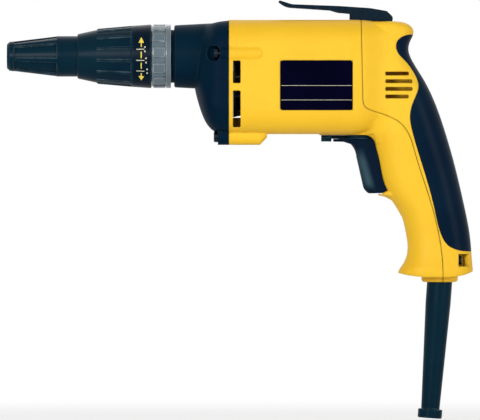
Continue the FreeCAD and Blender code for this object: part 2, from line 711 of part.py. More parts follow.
def make_nose_sleeve():
    """Detent ring with its collar seat and the tube that guides the nosepiece."""
    spigot_bore = "spigot_radius + slip_fit"
    groove = "spigot_radius + slip_fit + snap_wire_radius * 2 + slip_fit"
    groove_front = "ring_rear - ring_flange_length - snap_wire_radius * 3"
    groove_rear = groove_front + " + snap_wire_radius * 2 + slip_fit * 2"
    lug_front = "ring_front + lug_height"
    lug_rear = "ring_rear - ring_flange_length - lug_height / 2"
    flange_edge = "ring_radius + lug_height"
    body = turned("nose_sleeve", [
        ("ring_front - guide_length", "bit_passage_radius"),
        ("spigot_front - running_gap", "bit_passage_radius"),
        ("spigot_front - running_gap", spigot_bore),
        (groove_front, spigot_bore),
        (groove_front, groove),
        (groove_rear, groove),
        (groove_rear, spigot_bore),
        ("ring_rear", spigot_bore),
        ("ring_rear", flange_edge),
        ("ring_rear - ring_flange_length", flange_edge),
        ("ring_rear - ring_flange_length", "ring_radius"),
        ("ring_front", "ring_radius"),
        ("ring_front", "journal_radius"),
        ("ring_front - journal_length", "journal_radius"),
        ("ring_front - journal_length", "guide_radius"),
        ("ring_front - guide_length", "guide_radius"),
    ], turn="lug_turn")
    lug = spin(body, "lug", "Revolution", [
        (lug_front, "ring_radius - lug_height"),
        (lug_rear, "ring_radius - lug_height"),
        (lug_rear, "ring_radius + lug_height"),
        (lug_front, "ring_radius + lug_height"),
    ], "lug_sweep")
    repeat(body, "lugs", lug, "lug_count")
    snap = doc.addObject("Part::Torus", "nose_snap_ring")
    snap.Label = "nose_snap_ring"
    snap.setExpression("Radius1", formula("spigot_radius + slip_fit + snap_wire_radius + slip_fit / 2"))
    snap.setExpression("Radius2", formula("snap_wire_radius"))
    snap.setExpression("Angle3", formula("360 - snap_opening"))
    snap.Placement = FreeCAD.Placement(Vector(), FreeCAD.Rotation(ASIDE, 90))
    middle = groove_front + " + snap_wire_radius + slip_fit"
    snap.setExpression("Placement.Base.x", formula(middle))
    pieces.append(snap)


def make_spindle():
    """Spindle: hex socket in front, clutch dogs behind its shoulder, thin rear journal."""
    body = turned("spindle", [
        ("spindle_front", "0"),
        ("spindle_rear", "0"),
        ("spindle_rear", "spindle_tail_radius"),
        ("flange_rear", "spindle_tail_radius"),
        ("flange_rear", "spindle_flange_radius"),
        ("flange_front", "spindle_flange_radius"),
        ("flange_front", "spindle_radius"),
        ("spindle_front + socket_bevel", "spindle_radius"),
        ("spindle_front", "spindle_radius - socket_bevel"),
    ])
    dog = spin(body, "dog", "Revolution", [
        ("flange_rear - dog_length", "dog_inner_radius"),
        ("flange_rear + dog_length", "dog_inner_radius"),
        ("flange_rear + dog_length", "dog_outer_radius"),
        ("flange_rear - dog_length", "dog_outer_radius"),
    ], "dog_sweep")
    repeat(body, "dogs", dog, "dog_count")
    half = "(hex_flats + socket_clearance) / 2"
    reach = "(hex_flats + socket_clearance) / sqrt(3)"
    sketch = outline(body, "hexagon", "YZ_Plane", [
        (reach, "0"),
        (reach + " / 2", half),
        ("-" + reach + " / 2", half),
        ("-" + reach, "0"),
        ("-" + reach + " / 2", "-" + half),
        (reach + " / 2", "-" + half),
    ], "spindle_front")
    socket = extrude(body, "bit_socket", "Pocket", sketch, "socket_depth", False, True)
    body.Tip = socket
    groove_middle = "spindle_front + socket_depth / 2"
    inner = "hex_flats / 2"
    spin(body, "bit_ring_groove", "Groove", [
        (groove_middle + " - snap_wire_radius - slip_fit", inner),
        (groove_middle + " + snap_wire_radius + slip_fit", inner),
        (groove_middle + " + snap_wire_radius + slip_fit", reach + " + snap_wire_radius * 2"),
        (groove_middle + " - snap_wire_radius - slip_fit", reach + " + snap_wire_radius * 2"),
    ])
    ring = doc.addObject("Part::Torus", "bit_ring")
    ring.Label = "bit_ring"
    ring.setExpression("Radius1", formula(reach + " + snap_wire_radius"))
    ring.setExpression("Radius2", formula("snap_wire_radius"))
    ring.setExpression("Angle3", formula("360 - snap_opening"))
    ring.Placement = FreeCAD.Placement(Vector(), FreeCAD.Rotation(ASIDE, 90))
    ring.setExpression("Placement.Base.x", formula(groove_middle))
    pieces.append(ring)


def make_bushes():
    """Bushes of the spindle and its thrust washer."""
    bore = "spindle_radius + bearing_fit"
    tail_bore = "spindle_tail_radius + bearing_fit"
    turned("spindle_bush", ring_profile("spigot_front", "cavity_front", bore, "bush_radius"))
    turned("rear_bush", ring_profile("plate_boss_front", "plate_front", tail_bore, "rear_bush_radius"))
    turned("thrust_washer", ring_profile("washer_front", "flange_front", bore, "spindle_flange_radius"))


def tooth_face(teeth, shift, axis_height, first):
    """A spur gear's face across X: involute flanks as arcs through three of their points."""
    module = value("gear_module")
    pitch = module * teeth / 2
    base = pitch * math.cos(math.radians(value("pressure_angle")))
    tip = pitch + module * (value("tooth_addendum") + shift)
    root = pitch - module * (value("tooth_dedendum") - shift)
    slope = math.tan(math.radians(value("pressure_angle")))
    thickness = module * (math.pi / 2 + 2 * shift * slope) - value("tooth_backlash")

    def involute(radius):
        angle = math.acos(min(base / radius, 1))
        return math.tan(angle) - angle

    def half_angle(radius):
        return thickness / (2 * pitch) + involute(pitch) - involute(max(radius, base))

    def spot(radius, angle):
        return Vector(0, radius * math.sin(angle), axis_height + radius * math.cos(angle))

    foot = max(root, base)
    middle = (foot + tip) / 2
    step = 2 * math.pi / teeth
    edges = []
    for number in range(teeth):
        centre = first + number * step
        low, high = half_angle(foot), half_angle(tip)
        bottom_left, bottom_right = spot(root, centre - low), spot(root, centre + low)
        left, right = spot(foot, centre - low), spot(foot, centre + low)
        top_left, top_right = spot(tip, centre - high), spot(tip, centre + high)
        following = spot(root, centre + step - low)
        if foot > root:
            edges.append(Part.LineSegment(bottom_left, left).toShape())
        edges.append(Part.Arc(left, spot(middle, centre - half_angle(middle)), top_left).toShape())
        edges.append(Part.Arc(top_left, spot(tip, centre), top_right).toShape())
        edges.append(Part.Arc(top_right, spot(middle, centre + half_angle(middle)), right).toShape())
        if foot > root:
            edges.append(Part.LineSegment(right, bottom_right).toShape())
        edges.append(Part.Arc(bottom_right, spot(root, centre + step / 2), following).toShape())
    return Part.Face(Part.Wire(edges))


def drive_gear_shape():
    """Spur gear with the driving dogs on its front, free on the spindle's tail."""
    front = value("gear_front")
    teeth = int(value("gear_teeth"))
    face = tooth_face(teeth, -value("tooth_shift"), 0, math.pi + math.pi / teeth)
    gear = face.extrude(BEHIND * value("gear_face"))
    gear.translate(BEHIND * front)
    dog_front = Vector(value("gear_dog_front"), 0, 0)
    sweep = value("dog_sweep")
    length = value("dog_length") * 2
    wedge = Part.makeCylinder(value("dog_outer_radius"), length, dog_front, BEHIND, sweep)
    dog = wedge.cut(rod(dog_front, BEHIND, value("dog_inner_radius"), length))
    count = int(value("dog_count"))
    dogs = []
    for number in range(count):
        copy = dog.copy()
        copy.rotate(Vector(), BEHIND, upright_turn(sweep) + 360 / count * (number + 0.5))
        dogs.append(copy)
    gear = gear.fuse(dogs)
    bore = value("spindle_tail_radius + bearing_fit")
    return gear.cut(rod(dog_front, BEHIND, bore, value("gear_rear - gear_dog_front"))).removeSplitter()


def upright_turn(sweep):
    """Angle that brings a sector's middle to the upright."""
    size = value("shaft_radius")
    upright = Part.makeCylinder(size, size, Vector(), BEHIND, sweep).CenterOfMass
    return -math.degrees(math.atan2(-upright.y, upright.z))


def make_bearing_plate():
    """Plate between the gears and the motor, with seats for a bush and a bearing."""
    drop = value("motor_drop")
    front, rear = value("plate_front"), value("joint_plane")
    motor = Vector(front, 0, -drop)
    plate = rod(motor, BEHIND, value("plate_radius"), rear - front)
    boss_start = Vector(value("plate_boss_front"), 0, 0)
    boss = rod(boss_start, BEHIND, value("rear_bush_radius + plate_boss_wall"), front - boss_start.x)
    bearing_start = Vector(value("front_bearing_front"), 0, -drop)
    bearing_end = value("front_bearing_front + bearing_width")
    seat = rod(motor, BEHIND, value("bearing_radius + plate_boss_wall"), bearing_end - front)
    plate = plate.fuse([boss, seat])
    bush_hole = rod(boss_start, BEHIND, value("rear_bush_radius"), front - boss_start.x)
    bearing_hole = rod(bearing_start, BEHIND, value("bearing_radius"), value("bearing_width"))
    shaft_hole = rod(boss_start - ABOVE * drop, BEHIND, value("plate_hole_radius"), rear - boss_start.x)
    shaped("bearing_plate", plate.cut([bush_hole, bearing_hole, shaft_hole]))


def make_bearings():
    """Ball bearings of the motor shaft, with sunk shields."""
    for label, front, bore in (
        ("front_bearing", "front_bearing_front", "shaft_radius + bearing_fit"),
        ("rear_bearing", "rear_bearing_front", "shaft_tail_radius + bearing_fit"),
    ):
        rear = front + " + bearing_width"
        inner = bore + " + bearing_race"
        outer = "bearing_radius - bearing_race"
        turned(label, [
            (front, bore),
            (rear, bore),
            (rear, inner),
            (rear + " - bearing_groove", inner),
            (rear + " - bearing_groove", outer),
            (rear, outer),
            (rear, "bearing_radius"),
            (front, "bearing_radius"),
            (front, outer),
            (front + " + bearing_groove", outer),
            (front + " + bearing_groove", inner),
            (front, inner),
        ], "motor_drop")


def motor_shaft_shape():
    """Motor shaft with the pinion cut on its front end."""
    drop = value("motor_drop")
    middle = value("gear_front + gear_face / 2")
    pinion_front = middle - value("pinion_face") / 2
    teeth = int(value("pinion_teeth"))
    pinion = tooth_face(teeth, value("tooth_shift"), -drop, 0).extrude(BEHIND * value("pinion_face"))
    pinion.translate(BEHIND * pinion_front)
    pinion_rear = pinion_front + value("pinion_face")
    bearing_front = value("front_bearing_front")
    tail_front = value("rear_bearing_front")
    rear = value("rear_bearing_rear - seat_gap")
    lengths = (
        (pinion_rear, bearing_front, value("shaft_neck_radius")),
        (bearing_front, tail_front, value("shaft_radius")),
        (tail_front, rear, value("shaft_tail_radius")),
    )
    steps = [rod(Vector(a, 0, -drop), BEHIND, radius, b - a) for a, b, radius in lengths]
    return pinion.fuse(steps).removeSplitter()


def make_cooling_fan():
    """Radial fan: a disc, a hub and straight blades."""
    body = turned("cooling_fan", [
        ("fan_front", "shaft_radius"),
        ("fan_rear", "shaft_radius"),
        ("fan_rear", "fan_hub_radius"),
        ("fan_front + fan_disc", "fan_hub_radius"),
        ("fan_front + fan_disc", "fan_radius"),
        ("fan_front", "fan_radius"),
    ], "motor_drop")
    sketch = outline(body, "blade_outline", "XZ_Plane", [
        ("fan_front", "fan_hub_radius - fan_disc"),
        ("fan_rear", "fan_hub_radius - fan_disc"),
        ("fan_rear", "fan_radius - fan_disc"),
        ("fan_front", "fan_radius"),
    ])
    blade = extrude(body, "blade", "Pad", sketch, "fan_blade_thickness")
    repeat(body, "blades", blade, "fan_blades")


def make_fan_baffle():
    """Ring that keeps the fan's air from turning back into the field, notched for the upper screw bosses."""
    front, thick = value("baffle_front"), value("baffle_thickness")
    centre = Vector(front, 0, -value("motor_drop"))
    ring = rod(centre, BEHIND, value("barrel_half_width - barrel_wall - slip_fit"), thick)
    cuts = [rod(centre, BEHIND, value("baffle_bore"), thick)]
    for side in (-1, 1):
        boss = Vector(front, side * value("side_screw_spread"), value("side_screw_rise"))
        cuts.append(rod(boss, BEHIND, value("side_boss_radius + slip_fit"), thick))
    shaped("fan_baffle", ring.cut(cuts))


def slot_sketch(body, name, width, low, high, lift):
    """A radial slot across X."""
    half = f"({width}) / 2"
    return outline(body, name, "YZ_Plane", [
        ("-" + half, low),
        (half, low),
        (half, high),
        ("-" + half, high),
    ], lift)


def make_armature():
    """Armature: slotted stack, windings through its slots, commutator with bars."""
    core = turned("armature_core", ring_profile(
        "stator_front", "stator_rear", "shaft_radius", "armature_radius"), "motor_drop")
    depth = "armature_radius - armature_slot_depth"
    sketch = slot_sketch(core, "slot_outline", "armature_slot_width", depth,
                         "armature_radius + overrun", "stator_front")
    slot = extrude(core, "slot", "Pocket", sketch, "stator_length", False, True)
    repeat(core, "slots", slot, "armature_slots")
    ends = "armature_radius - air_gap * 2"
    front = "stator_front - winding_overhang"
    winding = turned("armature_windings", ring_profile(
        front, "stator_front", "shaft_radius + holder_wall", ends), "motor_drop")
    spin(winding, "rear_turns", "Revolution", ring_profile(
        "stator_rear", "stator_rear + winding_overhang", "shaft_radius + holder_wall", ends))
    sketch = slot_sketch(winding, "bar_outline", "armature_slot_width - slip_fit * 2",
                         depth + " + slip_fit", ends, front)
    bar = extrude(winding, "bar", "Pad", sketch, "stator_length + winding_overhang * 2", False)
    repeat(winding, "bars", bar, "armature_slots")
    commutator = turned("commutator", ring_profile(
        "commutator_front", "commutator_rear", "shaft_radius", "commutator_radius"), "motor_drop")
    sketch = slot_sketch(commutator, "slit_outline", "commutator_slit",
                         "commutator_radius - commutator_slit * 2",
                         "commutator_radius + overrun", "commutator_front")
    slit = extrude(commutator, "slit", "Pocket", sketch, "commutator_length", False, True)
    repeat(commutator, "slits", slit, "commutator_bars")


def sector(front, rear, inner, outer, middle, sweep):
    """Part of a ring about the motor's axis; middle is its angle from the left flank upwards."""
    centre = Vector(front, 0, -value("motor_drop"))
    whole = Part.makeCylinder(outer, rear - front, centre, BEHIND, sweep)
    part = whole.cut(rod(centre, BEHIND, inner, rear - front))
    part.rotate(centre, BEHIND, upright_turn(sweep) + QUARTER - middle)
    return part


def make_field():
    """Field: a ring stack with two poles, and a coil round each pole."""
    front, rear = value("stator_front"), value("stator_rear")
    bore = value("armature_radius + air_gap")
    depth = bore + value("coil_depth")
    play = value("slip_fit")
    sweep = value("coil_sweep")
    centre = Vector(front, 0, -value("motor_drop"))
    stack = rod(centre, BEHIND, value("stator_radius"), rear - front)
    stack = stack.cut(rod(centre, BEHIND, bore, rear - front))
    window_sweep = 2 * (sweep + value("coil_parting"))
    windows = [sector(front, rear, bore - play, depth, flank, window_sweep) for flank in (0, 2 * QUARTER)]
    shaped("field_stator", stack.cut(windows).removeSplitter())
    overhang = value("winding_overhang")
    lean = sweep / 2 + value("coil_parting") / 2
    arch = 2 * QUARTER - value("coil_parting")
    coils = []
    for pole in (1, -1):
        spans = ((front - overhang, rear + overhang, pole * lean, sweep),
                 (front - overhang, rear + overhang, pole * (2 * QUARTER - lean), sweep),
                 (front - overhang, front - play, pole * QUARTER, arch),
                 (rear + play, rear + overhang, pole * QUARTER, arch))
        parts = [sector(a, b, bore + play, depth - play, middle, angle) for a, b, middle, angle in spans]
        coils.append(parts[0].fuse(parts[1:]).removeSplitter())
    shaped("field_coils", Part.makeCompound(coils))


def coil_spring(radius, wire, length, turns):
    """A coil spring that climbs Z from the origin, wire and all inside the given length."""
    climb = length - 2 * wire
    path = Part.Wire(Part.makeHelix(climb / turns, climb, radius).Edges)
    loop = Part.Wire(Part.makeCircle(wire, Vector(radius, 0, 0), ASIDE))
    coil = path.makePipeShell([loop], True, True)
    coil.translate(ABOVE * wire)
    return coil


def make_clutch_spring():
    """Coil spring round the spindle's tail that keeps the clutch open."""
    length = value("gear_front - flange_rear - seat_gap * 2")
    radius = value("(spindle_tail_radius + dog_inner_radius) / 2")
    coil = coil_spring(radius, value("spring_wire_radius"), length, value("spring_turns"))
    coil.rotate(Vector(), ASIDE, QUARTER)
    coil.translate(BEHIND * value("flange_rear + seat_gap"))
    shaped("clutch_spring", coil)


def both_sides(make):
    """The same shape on the left and the right, as one group."""
    return Part.makeCompound([make(side) for side in (-1, 1)])


def span(along, out, up, side):
    """A box from ranges along X, outwards from the middle on one side, and up Z."""
    near, far = sorted((side * out[0], side * out[1]))
    return block(Vector(along[0], near, up[0]), Vector(along[1], far, up[1]))


def make_brushes():
    """Brush holders, carbon brushes and their springs on both sides of the commutator."""
    middle, height = value("brush_middle"), -value("motor_drop")
    half_width = value("brush_width") / 2
    half_height = value("brush_thickness") / 2
    play, wall = value("brush_play"), value("holder_wall")
    tip = value("commutator_radius + brush_gap")
    near = value("commutator_radius + holder_gap")
    far = near + value("holder_length")
    web = value("web_front")

    def holder(side):
        edge = half_width + play
        rise = half_height + play
        low, high = height - rise, height + rise
        shell = span((middle - edge - wall, web), (near, far), (low - wall, high + wall), side)
        inside = span((middle - edge, middle + edge), (near, far - wall), (low, high), side)
        return shell.cut(inside)

    def brush(side):
        return span((middle - half_width, middle + half_width), (tip, tip + value("brush_length")),
                    (height - half_height, height + half_height), side)

    def spring(side):
        start = tip + value("brush_length + seat_gap")
        wire = value("spring_wire_radius")
        length = far - wall - value("seat_gap") - start
        coil = coil_spring(half_height - wire, wire, length, value("spring_turns"))
        coil.rotate(Vector(), BEHIND, -side * QUARTER)
        coil.translate(Vector(middle, side * start, height))
        return coil

    shaped("brush_holders", both_sides(holder))
    shaped("carbon_brushes", both_sides(brush))
    shaped("brush_springs", both_sides(spring))


def rounded_loop(centre, across, up, half_across, half_up, corner):
    """A rounded rectangle: four sides joined by four quarter arcs."""
    edges = []
    turns = ((across, up), (up, -across), (-across, -up), (-up, across))
    halves = (half_across, half_up, half_across, half_up)
    diagonal = math.sqrt(0.5)
    for index, (out, along) in enumerate(turns):
        here, there = halves[index], halves[(index + 1) % 4]
        begin = centre + out * here - along * (there - corner)
        stop = centre + out * here + along * (there - corner)
        pivot = centre + out * (here - corner) + along * (there - corner)
        middle = pivot + (out + along) * (corner * diagonal)
        edges.append(Part.LineSegment(begin, stop).toShape())
        edges.append(Part.Arc(stop, middle, pivot + along * corner).toShape())
    return Part.Wire(edges)


def barrel_loop(place, wall, taper):
    """The barrel's section at a place, drawn in by a wall; taper runs from 0 to 1 at its rear end."""
    ease = taper ** 2 * (3 - 2 * taper)
    wide, top, bottom, corner = [1 - share * ease for share in BARREL_end_shares]
    high = value("barrel_half_height") * top - wall
    low = value("barrel_half_height") * bottom - wall
    centre = Vector(place, 0, (high - low) / 2 - value("motor_drop"))
    radius = value("barrel_corner") * corner - wall
    half = value("barrel_half_width") * wide - wall
    return rounded_loop(centre, ASIDE, ABOVE, half, (high + low) / 2, radius)


def barrel(wall, lead):
    """The motor's barrel, drawn in by a wall and led past its front by a length."""
    start, straight = value("joint_plane"), value("barrel_straight")
    tail = value("barrel_length") - straight
    front = Part.makeLoft([barrel_loop(start - lead, wall, 0), barrel_loop(start + straight, wall, 0)], True)
    loops = [barrel_loop(start + straight + tail * step, wall, max(step, 0)) for step in BARREL_step_shares]
    return front.fuse(Part.makeLoft(loops, True))


def column_point(behind, down):
    """A point on the handle's side view from shares of its depth and height."""
    return Vector(value("column_front") + behind * value("column_reach"), 0,
                  value("column_top") - down * value("column_height"))


def column(wall):
    """The handle, from the tool's top to its heel, drawn in by a wall."""
    loops = []
    margin = wall / value("column_height")
    for down, front, rear, wide, corner in COLUMN_shares:
        if 0 < down < margin or 1 - margin < down < 1:
            continue
        nose, back = column_point(front, down), column_point(rear, down)
        rise = wall * ((down == 1) - (down == 0))
        centre = (nose + back) * 0.5 + ABOVE * rise
        half = value("column_half_width") * wide
        radius = half * corner - wall
        loops.append(rounded_loop(centre, BEHIND, ASIDE, (back.x - nose.x) / 2 - wall, half - wall, radius))
    return Part.makeLoft(loops, True)


def sweep_aside(edges, half_width):
    """A closed side view swept across the tool."""
    face = Part.Face(Part.Wire(edges))
    face.translate(ASIDE * -half_width)
    return face.extrude(ASIDE * (2 * half_width))


def side_curve(shares):
    """A smooth curve through points of the handle's side view."""
    curve = Part.BSplineCurve()
    curve.interpolate([column_point(behind, down) for behind, down in shares])
    return curve.toShape()


def polygon(points):
    """Straight edges round a closed list of points."""
    return Part.makePolygon(list(points) + [points[0]]).Edges


def rear_region(shift):
    """Everything behind the seam between the two shells."""
    over = value("overrun") * 4
    curve = side_curve(SEAM_shares)
    top = Vector(column_point(SEAM_TOP_share, 0).x, 0, value("column_top") + over)
    start, end = curve.Vertexes[0].Point, curve.Vertexes[-1].Point
    back = column_point(1, 0).x + over
    ring = [end, Vector(back, 0, end.z), Vector(back, 0, top.z), top, start]
    edges = [curve] + [Part.LineSegment(a, b).toShape() for a, b in zip(ring, ring[1:])]
    region = sweep_aside(edges, value("barrel_half_width") + over)
    region.translate(Vector(shift, 0, shift / 2))
    return region


def grip_region():
    """Everything behind the rubber pad's edge."""
    curve = side_curve(GRIP_shares)
    start, end = curve.Vertexes[0].Point, curve.Vertexes[-1].Point
    back = column_point(1, 0).x + value("overrun") * 4
    ring = [end, Vector(back, 0, end.z), Vector(back, 0, start.z), start]
    edges = [curve] + [Part.LineSegment(a, b).toShape() for a, b in zip(ring, ring[1:])]
    return sweep_aside(edges, value("barrel_half_width"))


def under_heel():
    """Everything below the rounded heel."""
    curve = side_curve(HEEL_shares)
    start, end = curve.Vertexes[0].Point, curve.Vertexes[-1].Point
    low = value("heel_bottom") - value("overrun")
    ring = [end, Vector(end.x, 0, low), Vector(start.x, 0, low), start]
    edges = [curve] + [Part.LineSegment(a, b).toShape() for a, b in zip(ring, ring[1:])]
    return sweep_aside(edges, value("barrel_half_width"))


def trigger_lip():
    """Lip under the trigger, rounded to the front as the handle is."""
    rear = column_point(LIP_REAR_share, 0).x
    loops = []
    for behind, down in LIP_shares:
        nose = column_point(behind, down)
        half = (rear - nose.x) / 2
        loops.append(rounded_loop(nose + BEHIND * half, BEHIND, ASIDE, half, value("lip_half_width"),
                                  value("lip_corner")))
    return Part.makeLoft(loops, True, True)


def foot_root(front, rear, side):
    """Block that joins a lower screw boss to the wall over it."""
    middle, radius = value("foot_half_spread"), value("foot_radius")
    low = value("foot_height")
    rise = value("foot_drop + barrel_wall")
    return span((front, rear), (middle - radius, middle + radius), (low, low + rise), side)


def outer_body():
    """Barrel, handle, screw bosses, trigger lip and heel ring as one outer form."""
    joint = value("joint_plane")
    extra = []
    for side in (-1, 1):
        foot = Vector(joint, side * value("foot_half_spread"), value("foot_height"))
        radius, length = value("foot_radius"), value("foot_length")
        straight = rod(foot, BEHIND, radius, length)
        end = foot + BEHIND * length
        lifted = end + Vector(value("foot_slope"), 0, value("foot_drop + barrel_wall"))
        loops = [Part.Wire(Part.makeCircle(radius, spot, BEHIND)) for spot in (end, lifted)]
        extra += [straight, Part.makeLoft(loops, True), foot_root(joint, end.x, side)]
        boss = Vector(joint, side * value("side_screw_spread"), value("side_screw_rise"))
        extra.append(rod(boss, BEHIND, value("side_boss_radius"), value("side_boss_length")))
        extra.append(Part.makeSphere(value("side_boss_radius"), boss + BEHIND * value("side_boss_length")))
    bottom = value("barrel_bottom")
    platform, half = value("platform_front"), value("platform_half_width")
    flat = block(Vector(platform, -half, bottom - value("platform_drop")),
                 Vector(platform + value("platform_length"), half, bottom + value("barrel_wall")))
    heel = Vector(value("heel_collar_place"), 0, value("heel_collar_bottom"))
    ring = rod(heel, ABOVE, value("heel_collar_radius"), value("heel_collar_drop + column_wall"))
    rounding = value("heel_collar_round")
    ring = ring.makeFillet(rounding, [edge for edge in ring.Edges if edge.BoundBox.ZMax < heel.z + rounding])
    handle = column(0).cut(under_heel())
    return barrel(0, 0).fuse([handle, trigger_lip(), flat, ring] + extra)


def inner_webs():
    """What stands inside the shells: webs, bosses and ribs."""
    motor = -value("motor_drop")
    half = value("barrel_half_width")
    tall = value("barrel_half_height")

    def slab(front, rear):
        return block(Vector(front, -half, motor - tall), Vector(rear, half, motor + tall))

    thick = value("field_web_thickness")
    webs = []
    for front in (value("stator_front"), value("stator_rear") - thick):
        bore = rod(Vector(front, 0, motor), BEHIND, value("stator_radius + bearing_fit"), thick)
        webs.append(slab(front, front + thick).cut(bore))
    front, rear = value("web_front"), value("web_rear")
    seat = rod(Vector(front, 0, motor), BEHIND, value("bearing_radius"), value("seat_gap + bearing_width"))
    circle = value("web_air_circle") * math.sqrt(0.5)
    holes = [rod(Vector(front, x * circle, motor + y * circle), BEHIND, value("web_air_radius"), rear - front)
             for x in (-1, 1) for y in (-1, 1)]
    webs.append(slab(front, rear).cut([seat] + holes))
    top, bottom = value("switch_top"), value("switch_top - switch_height")
    for side in (-1, 1):
        rib_front = value("switch_front + switch_gap")
        webs.append(span((rib_front, rib_front + value("switch_rib_thickness")),
                         (value("switch_half_width"), value("column_half_width")), (bottom, top), side))
        boss = Vector(value("joint_plane"), side * value("side_screw_spread"), value("side_screw_rise"))
        reach = value("side_boss_length + side_boss_radius")
        webs.append(rod(boss, BEHIND, value("side_boss_radius"), reach))
        heel = Vector(value("column_front"), side * value("heel_screw_spread"), value("heel_screw_height"))
        webs.append(rod(heel, BEHIND, value("small_boss_radius"), value("heel_screw_seat") - heel.x))
        wall = value("heel_recess_wall")
        rise = value("heel_recess_height") / 2 + wall
        webs.append(span((value("heel_screw_seat") - wall, column_point(1, 0).x),
                         (heel_recess_depth() - wall, value("column_half_width")),
                         (heel.z - rise, heel.z + rise), side))
        clamp = Vector(value("column_front"), side * value("clamp_screw_spread"), value("clamp_height_place"))
        webs.append(rod(clamp, BEHIND, value("small_boss_radius"), clamp_face() - clamp.x))
    hook = Vector(value("hook_screw_rear"), 0, value("hook_seat"))
    webs.append(rod(hook, -ABOVE, value("small_boss_radius"), value("small_screw_length")))
    keel = value("keel_thickness") / 2
    fan_low = motor - value("fan_radius + keel_gap")
    webs.append(block(Vector(value("joint_plane"), -keel, motor - tall),
                      Vector(value("baffle_front"), keel, fan_low)))
    vents = value("rear_vent_top + rear_vent_height")
    low = vents - value("rear_vent_pitch * (rear_vent_count + 1)")
    webs.append(block(Vector(value("web_rear + overrun"), -keel, low),
                      Vector(column_point(1, 0).x, keel, vents)))
    return webs


def heel_recess_depth():
    """Floor of the heel recesses, from the middle."""
    return value("heel_screw_spread - small_boss_radius")


def clamp_face():
    """Face that the cord clamp is screwed against, on the cord's axis."""
    rise = value("clamp_height_place - heel_collar_bottom")
    return value("heel_collar_place") + rise * math.tan(math.radians(value("protector_lean")))


def protector_placement():
    """Where the cord protector leaves the heel ring, leaning forward."""
    exit_point = Vector(value("heel_collar_place"), 0, value("heel_collar_bottom"))
    return FreeCAD.Placement(exit_point, FreeCAD.Rotation(ASIDE, value("protector_lean")))


def vent(along, out, up, side):
    """An air slot with rounded corners through one flank."""
    slot = span(along, out, up, side)
    return slot.makeFillet(value("vent_corner"), [edge for edge in slot.Edges if along_edge(edge, ASIDE)])


def vent_cuts():
    """Air slots at the front and the rear of both flanks."""
    over = value("overrun")
    out = (value("barrel_half_width") - value("barrel_corner"), value("barrel_half_width") + over)
    front = value("joint_plane + vent_offset")
    cuts = []
    for side in (-1, 1):
        for name in ("upper", "lower"):
            top = value(f"front_vent_{name}_top")
            low = top - value(f"front_vent_{name}_height")
            cuts.append(vent((front, front + value("vent_width")), out, (low, top), side))
        start = value("column_front + rear_vent_start")
        inside = value("column_half_width / 2")
        for number in range(int(value("rear_vent_count"))):
            top = value("rear_vent_top") - number * value("rear_vent_pitch")
            end = start + value("rear_vent_length") * VENT_row_shares[number % len(VENT_row_shares)]
            cuts.append(vent((start, end), (inside, out[1]), (top - value("rear_vent_height"), top), side))
    return cuts


def shell_cuts():
    """Trigger slot, plate recess, hook seat, screw holes and the cord's way out."""
    over = value("overrun")
    slot = value("trigger_half_width + slot_play")
    cuts = vent_cuts()
    cuts.append(block(Vector(value("trigger_front"), -slot, value("trigger_bottom - slot_play")),
                      Vector(value("switch_front"), slot, value("barrel_bottom - platform_drop"))))
    pivot = Vector(value("lever_pivot"), 0, value("barrel_bottom - platform_drop"))
    cuts.append(rod(pivot, ABOVE, value("lever_pin_radius + slip_fit"), value("lever_pin_length + seat_gap")))
    recess = value("barrel_half_width - plate_sink")
    left = value("joint_plane + plate_offset")
    play = value("slip_fit")
    cuts.append(span((left - play, left + value("plate_length") + play), (recess, recess + over),
                     (value("plate_top - plate_height") - play, value("plate_top") + play), -1))
    seat = value("hook_seat")
    half = value("hook_half_width") + play
    cuts.append(block(Vector(value("hook_front") - play, -half, seat),
                      Vector(value("hook_front + hook_block_length") + play, half, seat + over)))
    for place in (value("hook_front + hook_screw_front"), value("hook_screw_rear")):
        cuts.append(rod(Vector(place, 0, seat), -ABOVE, value("small_screw_radius"),
                        value("small_screw_length - hook_screw_sink")))
    joint = value("joint_plane")
    depth = value("screw_length - screw_flange")
    for spread, height in screw_places():
        cuts.append(rod(Vector(joint, spread, height), BEHIND, value("screw_radius"), depth))
    for side in (-1, 1):
        cuts.append(rod(heel_screw(side), -BEHIND, value("small_screw_radius"), value("heel_screw_length")))
        cuts.append(heel_recess(side))
        clamp = Vector(clamp_face(), side * value("clamp_screw_spread"), value("clamp_height_place"))
        reach = value("small_screw_length - clamp_thickness")
        cuts.append(rod(clamp, -BEHIND, value("small_screw_radius"), reach))
    way = Part.makeCylinder(value("protector_radius + slip_fit"), over * 6, Vector(0, 0, -over * 2))
    way.Placement = protector_placement()
    cuts.append(way)
    return cuts


def heel_screw(side):
    """Where the head of a heel screw rests."""
    return Vector(value("heel_screw_seat"), side * value("heel_screw_spread"), value("heel_screw_height"))


def heel_recess(side):
    """Recess with a ramp that gives the driver room behind a heel screw."""
    front = value("heel_screw_seat")
    rear = front + value("heel_recess_length")
    deep = heel_recess_depth()
    out = value("column_half_width + overrun")
    low = value("heel_screw_height - heel_recess_height / 2")
    ramp = deep + value("heel_recess_length") * HEEL_RAMP_share
    flat = front + value("heel_recess_flat")
    spots = ((front, deep), (front, out), (rear, out), (rear, ramp), (flat, deep))
    corners = [Vector(along, side * across, low) for along, across in spots]
    return Part.Face(Part.Wire(polygon(corners))).extrude(ABOVE * value("heel_recess_height"))


def screw_places():
    """Across and up of the four case screws."""
    upper = [(side * value("side_screw_spread"), value("side_screw_rise")) for side in (-1, 1)]
    lower = [(side * value("foot_half_spread"), value("foot_height")) for side in (-1, 1)]
    return upper + lower


